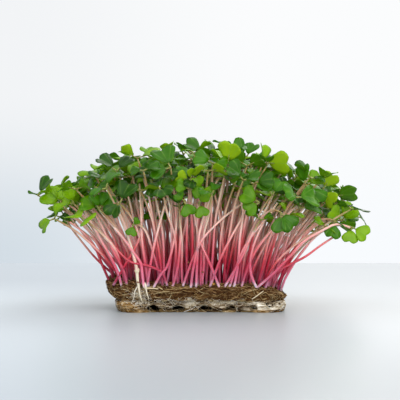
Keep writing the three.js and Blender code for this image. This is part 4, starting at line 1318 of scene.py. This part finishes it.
# One seedling at the front rooted outside the pad. Its pale stem comes down before the pad's edge and its
# bare root hangs over it, with a swollen collar, fine white hairs and a few brown fibres caught on it.
bare_place = places[1]
BARE_ROOT_PATH = [bare_place + np.array(step) for step in (
    (0, 1.5, -0.6), (0.8, -2.6, 0.9), (2, -6.6, 1.5), (3, -8.6, 0), (3.6, -8.5, -4), (5, -8, -8.4),
)]
PALE_STEM_PATH = [(-50.8, -38.0, 68.2), (-48.8, -44.0, 64.2), (-44.7, -46.0, 55.3), (-40.9, -47.0, 45.4),
                  (-38.2, -46.5, 36.2), (-36.6, -45.5, 29.3), (-36.1, -45.0, 26.2)]
PALE_STEM_RADII = [0.7, 0.8, 0.85, 0.95, 1.1]
HUGGING_ROOTS = [
    ([(-36.2, -44.8, 27.5), (-35.8, -44.4, 21), (-35, -43.9, 15.5), (-34.4, -43.2, 11.5),
      (-33.2, -42.2, 7.5)], [1.1, 0.95, 0.75, 0.5, 0.3]),
    (BARE_ROOT_PATH, [0.8, 0.85, 0.75, 0.6, 0.42, 0.2]),
    ([(-35.6, -44, 17), (-37.5, -43.6, 13.5), (-38.2, -43, 9.5), (-40, -41.8, 5.5)],
     [0.35, 0.3, 0.22, 0.12]),
    ([(-32.0, -43.8, 16.4), (-30.8, -43.6, 15.4), (-27.4, -43.3, 15.4), (-23, -42.6, 15.0)],
     [0.75, 0.62, 0.5, 0.3]),
    ([(35, -42, 8.6), (37.6, -43, 10.4), (40.6, -42.8, 12.6), (43, -41.8, 14.2)], [0.3, 0.36, 0.3, 0.2]),
]
long_piece("bare_roots", young_root, HUGGING_ROOTS, [0.78, 0.8, 0.85, 0.62, 0.7])

# The collar is the swollen place between stem and root, still wet and cream.
COLLAR_MIDDLE = (-36.1, -45, 26.6)
COLLAR_SIZE = (1.5, 1.1, 1.9)
collar_bm = bmesh.new()
bmesh.ops.create_icosphere(collar_bm, subdivisions=3, radius=1)
for vert in collar_bm.verts:
    lump = 1 + 0.35 * noise.noise(vert.co * 1.3 + Vector((4, 0, 0)))
    vert.co = (Vector(COLLAR_MIDDLE) + Vector([c * s for c, s in zip(vert.co, COLLAR_SIZE)]) * lump) * MM
collar_mesh = mesh_from(collar_bm, "root_collar")
note(collar_mesh, "tone", np.full(len(collar_mesh.vertices), 0.72))
piece_from(collar_mesh, "root_collar", young_root)

# Its own stem, pale to the foot, and beside it a pink one that turns along the pad's edge at its foot.
pale_stem = long_piece("pale_stem", stem_skin, [(PALE_STEM_PATH, PALE_STEM_RADII)], [1],
                       lambda points: 0.62 - 0.1 * points_of(long_tube)[:, 2])

BENT_FOOT_PATH = [(-61.2, -40, 68.2), (-59.5, -46, 64.5), (-52, -48, 55.6), (-44, -48, 46.1),
                  (-37.9, -47, 37.4), (-33.7, -46.5, 31.2), (-32.8, -45.2, 23.8), (-32, -44, 17.2),
                  (-31, -43.6, 15.5)]
BENT_FOOT_RADII = [0.6, 0.7, 0.78, 0.85, 0.85, 0.8, 0.66]
bent_foot = long_piece("stem_with_bent_foot", stem_skin, [(BENT_FOOT_PATH, BENT_FOOT_RADII)], [0.95],
                       along_stem)


# Root hairs are the white down on young roots, thickest below the bare root and where roots left the pad's
# front. Fewer grow behind, at the same places.
HAIR_TUFTS = [
    # x, z, how many, length, spread to the sides and up and down
    (-35, 12, 190, 4.6, 3.4, 2.6), (-36, 8, 110, 3.8, 3.8, 2.0), (-31, 8, 60, 3.2, 2.5, 1.8),
    (-2.8, 7.4, 200, 3.6, 2.6, 1.8), (14, 6.6, 90, 3.2, 3.5, 1.0), (22, 6.4, 90, 3.2, 4.0, 1.0),
    (-22, 7.4, 40, 3.6, 4.5, 1.2), (-13, 7.6, 40, 3.6, 4.5, 1.2), (31, 7.0, 30, 3.0, 3.0, 1.5),
    (8, 7.6, 30, 3.0, 3.0, 1.2),
]
block_faces = [surface_of(mesh) for mesh in (mat_mesh, root_mesh)]


def front_of_block(x, z, side=-1):
    """How far the block reaches in front at this place, or behind it for side 1, in millimetres."""
    start = Vector((x, side * 90, z)) * MM
    hits = [faces.ray_cast(start, Vector((0, -side, 0)))[0] for faces in block_faces]
    reached = [hit.y / MM for hit in hits if hit]
    return max(reached, key=lambda y: y * side) if reached else side * 40


dice = random.Random(31)
hairs = []
for side in (-1, 1):
    for x, z, count, length, wide, high in HAIR_TUFTS:
        for _ in range(count if side < 0 else count // 2):
            root_x = x + dice.gauss(0, wide * 0.6)
            root_z = max(1.5, z + dice.gauss(0, high * 0.6))
            angle = dice.uniform(0, 2 * math.pi)
            reach = length * dice.uniform(0.4, 1)
            end_x = root_x + math.cos(angle) * reach
            end_z = max(0.6, root_z + math.sin(angle) * reach * 0.6 - 0.4)
            ends = []
            for x_at, z_at in ((root_x * -side, root_z), (end_x * -side, end_z)):
                ends.append([x_at, front_of_block(x_at, z_at, side), z_at])
            start, end = ends
            start[1] -= side * 0.05
            end[1] += side * dice.uniform(0, 0.5)
            middle = [(a + b) / 2 for a, b in zip(start, end)]
            middle[1] = max(start[1] * side, end[1] * side) * side + side * dice.uniform(0.2, 0.9)
            hairs.append((start, middle, end))
hair_mesh = strand_mesh("root_hairs", tube(3, 3), np.array(hairs), 32, (0.08, 0.15), (0.6, 1),
                        lambda t: 1 - 0.5 * t)
piece_from(hair_mesh, "root_hairs", young_root)
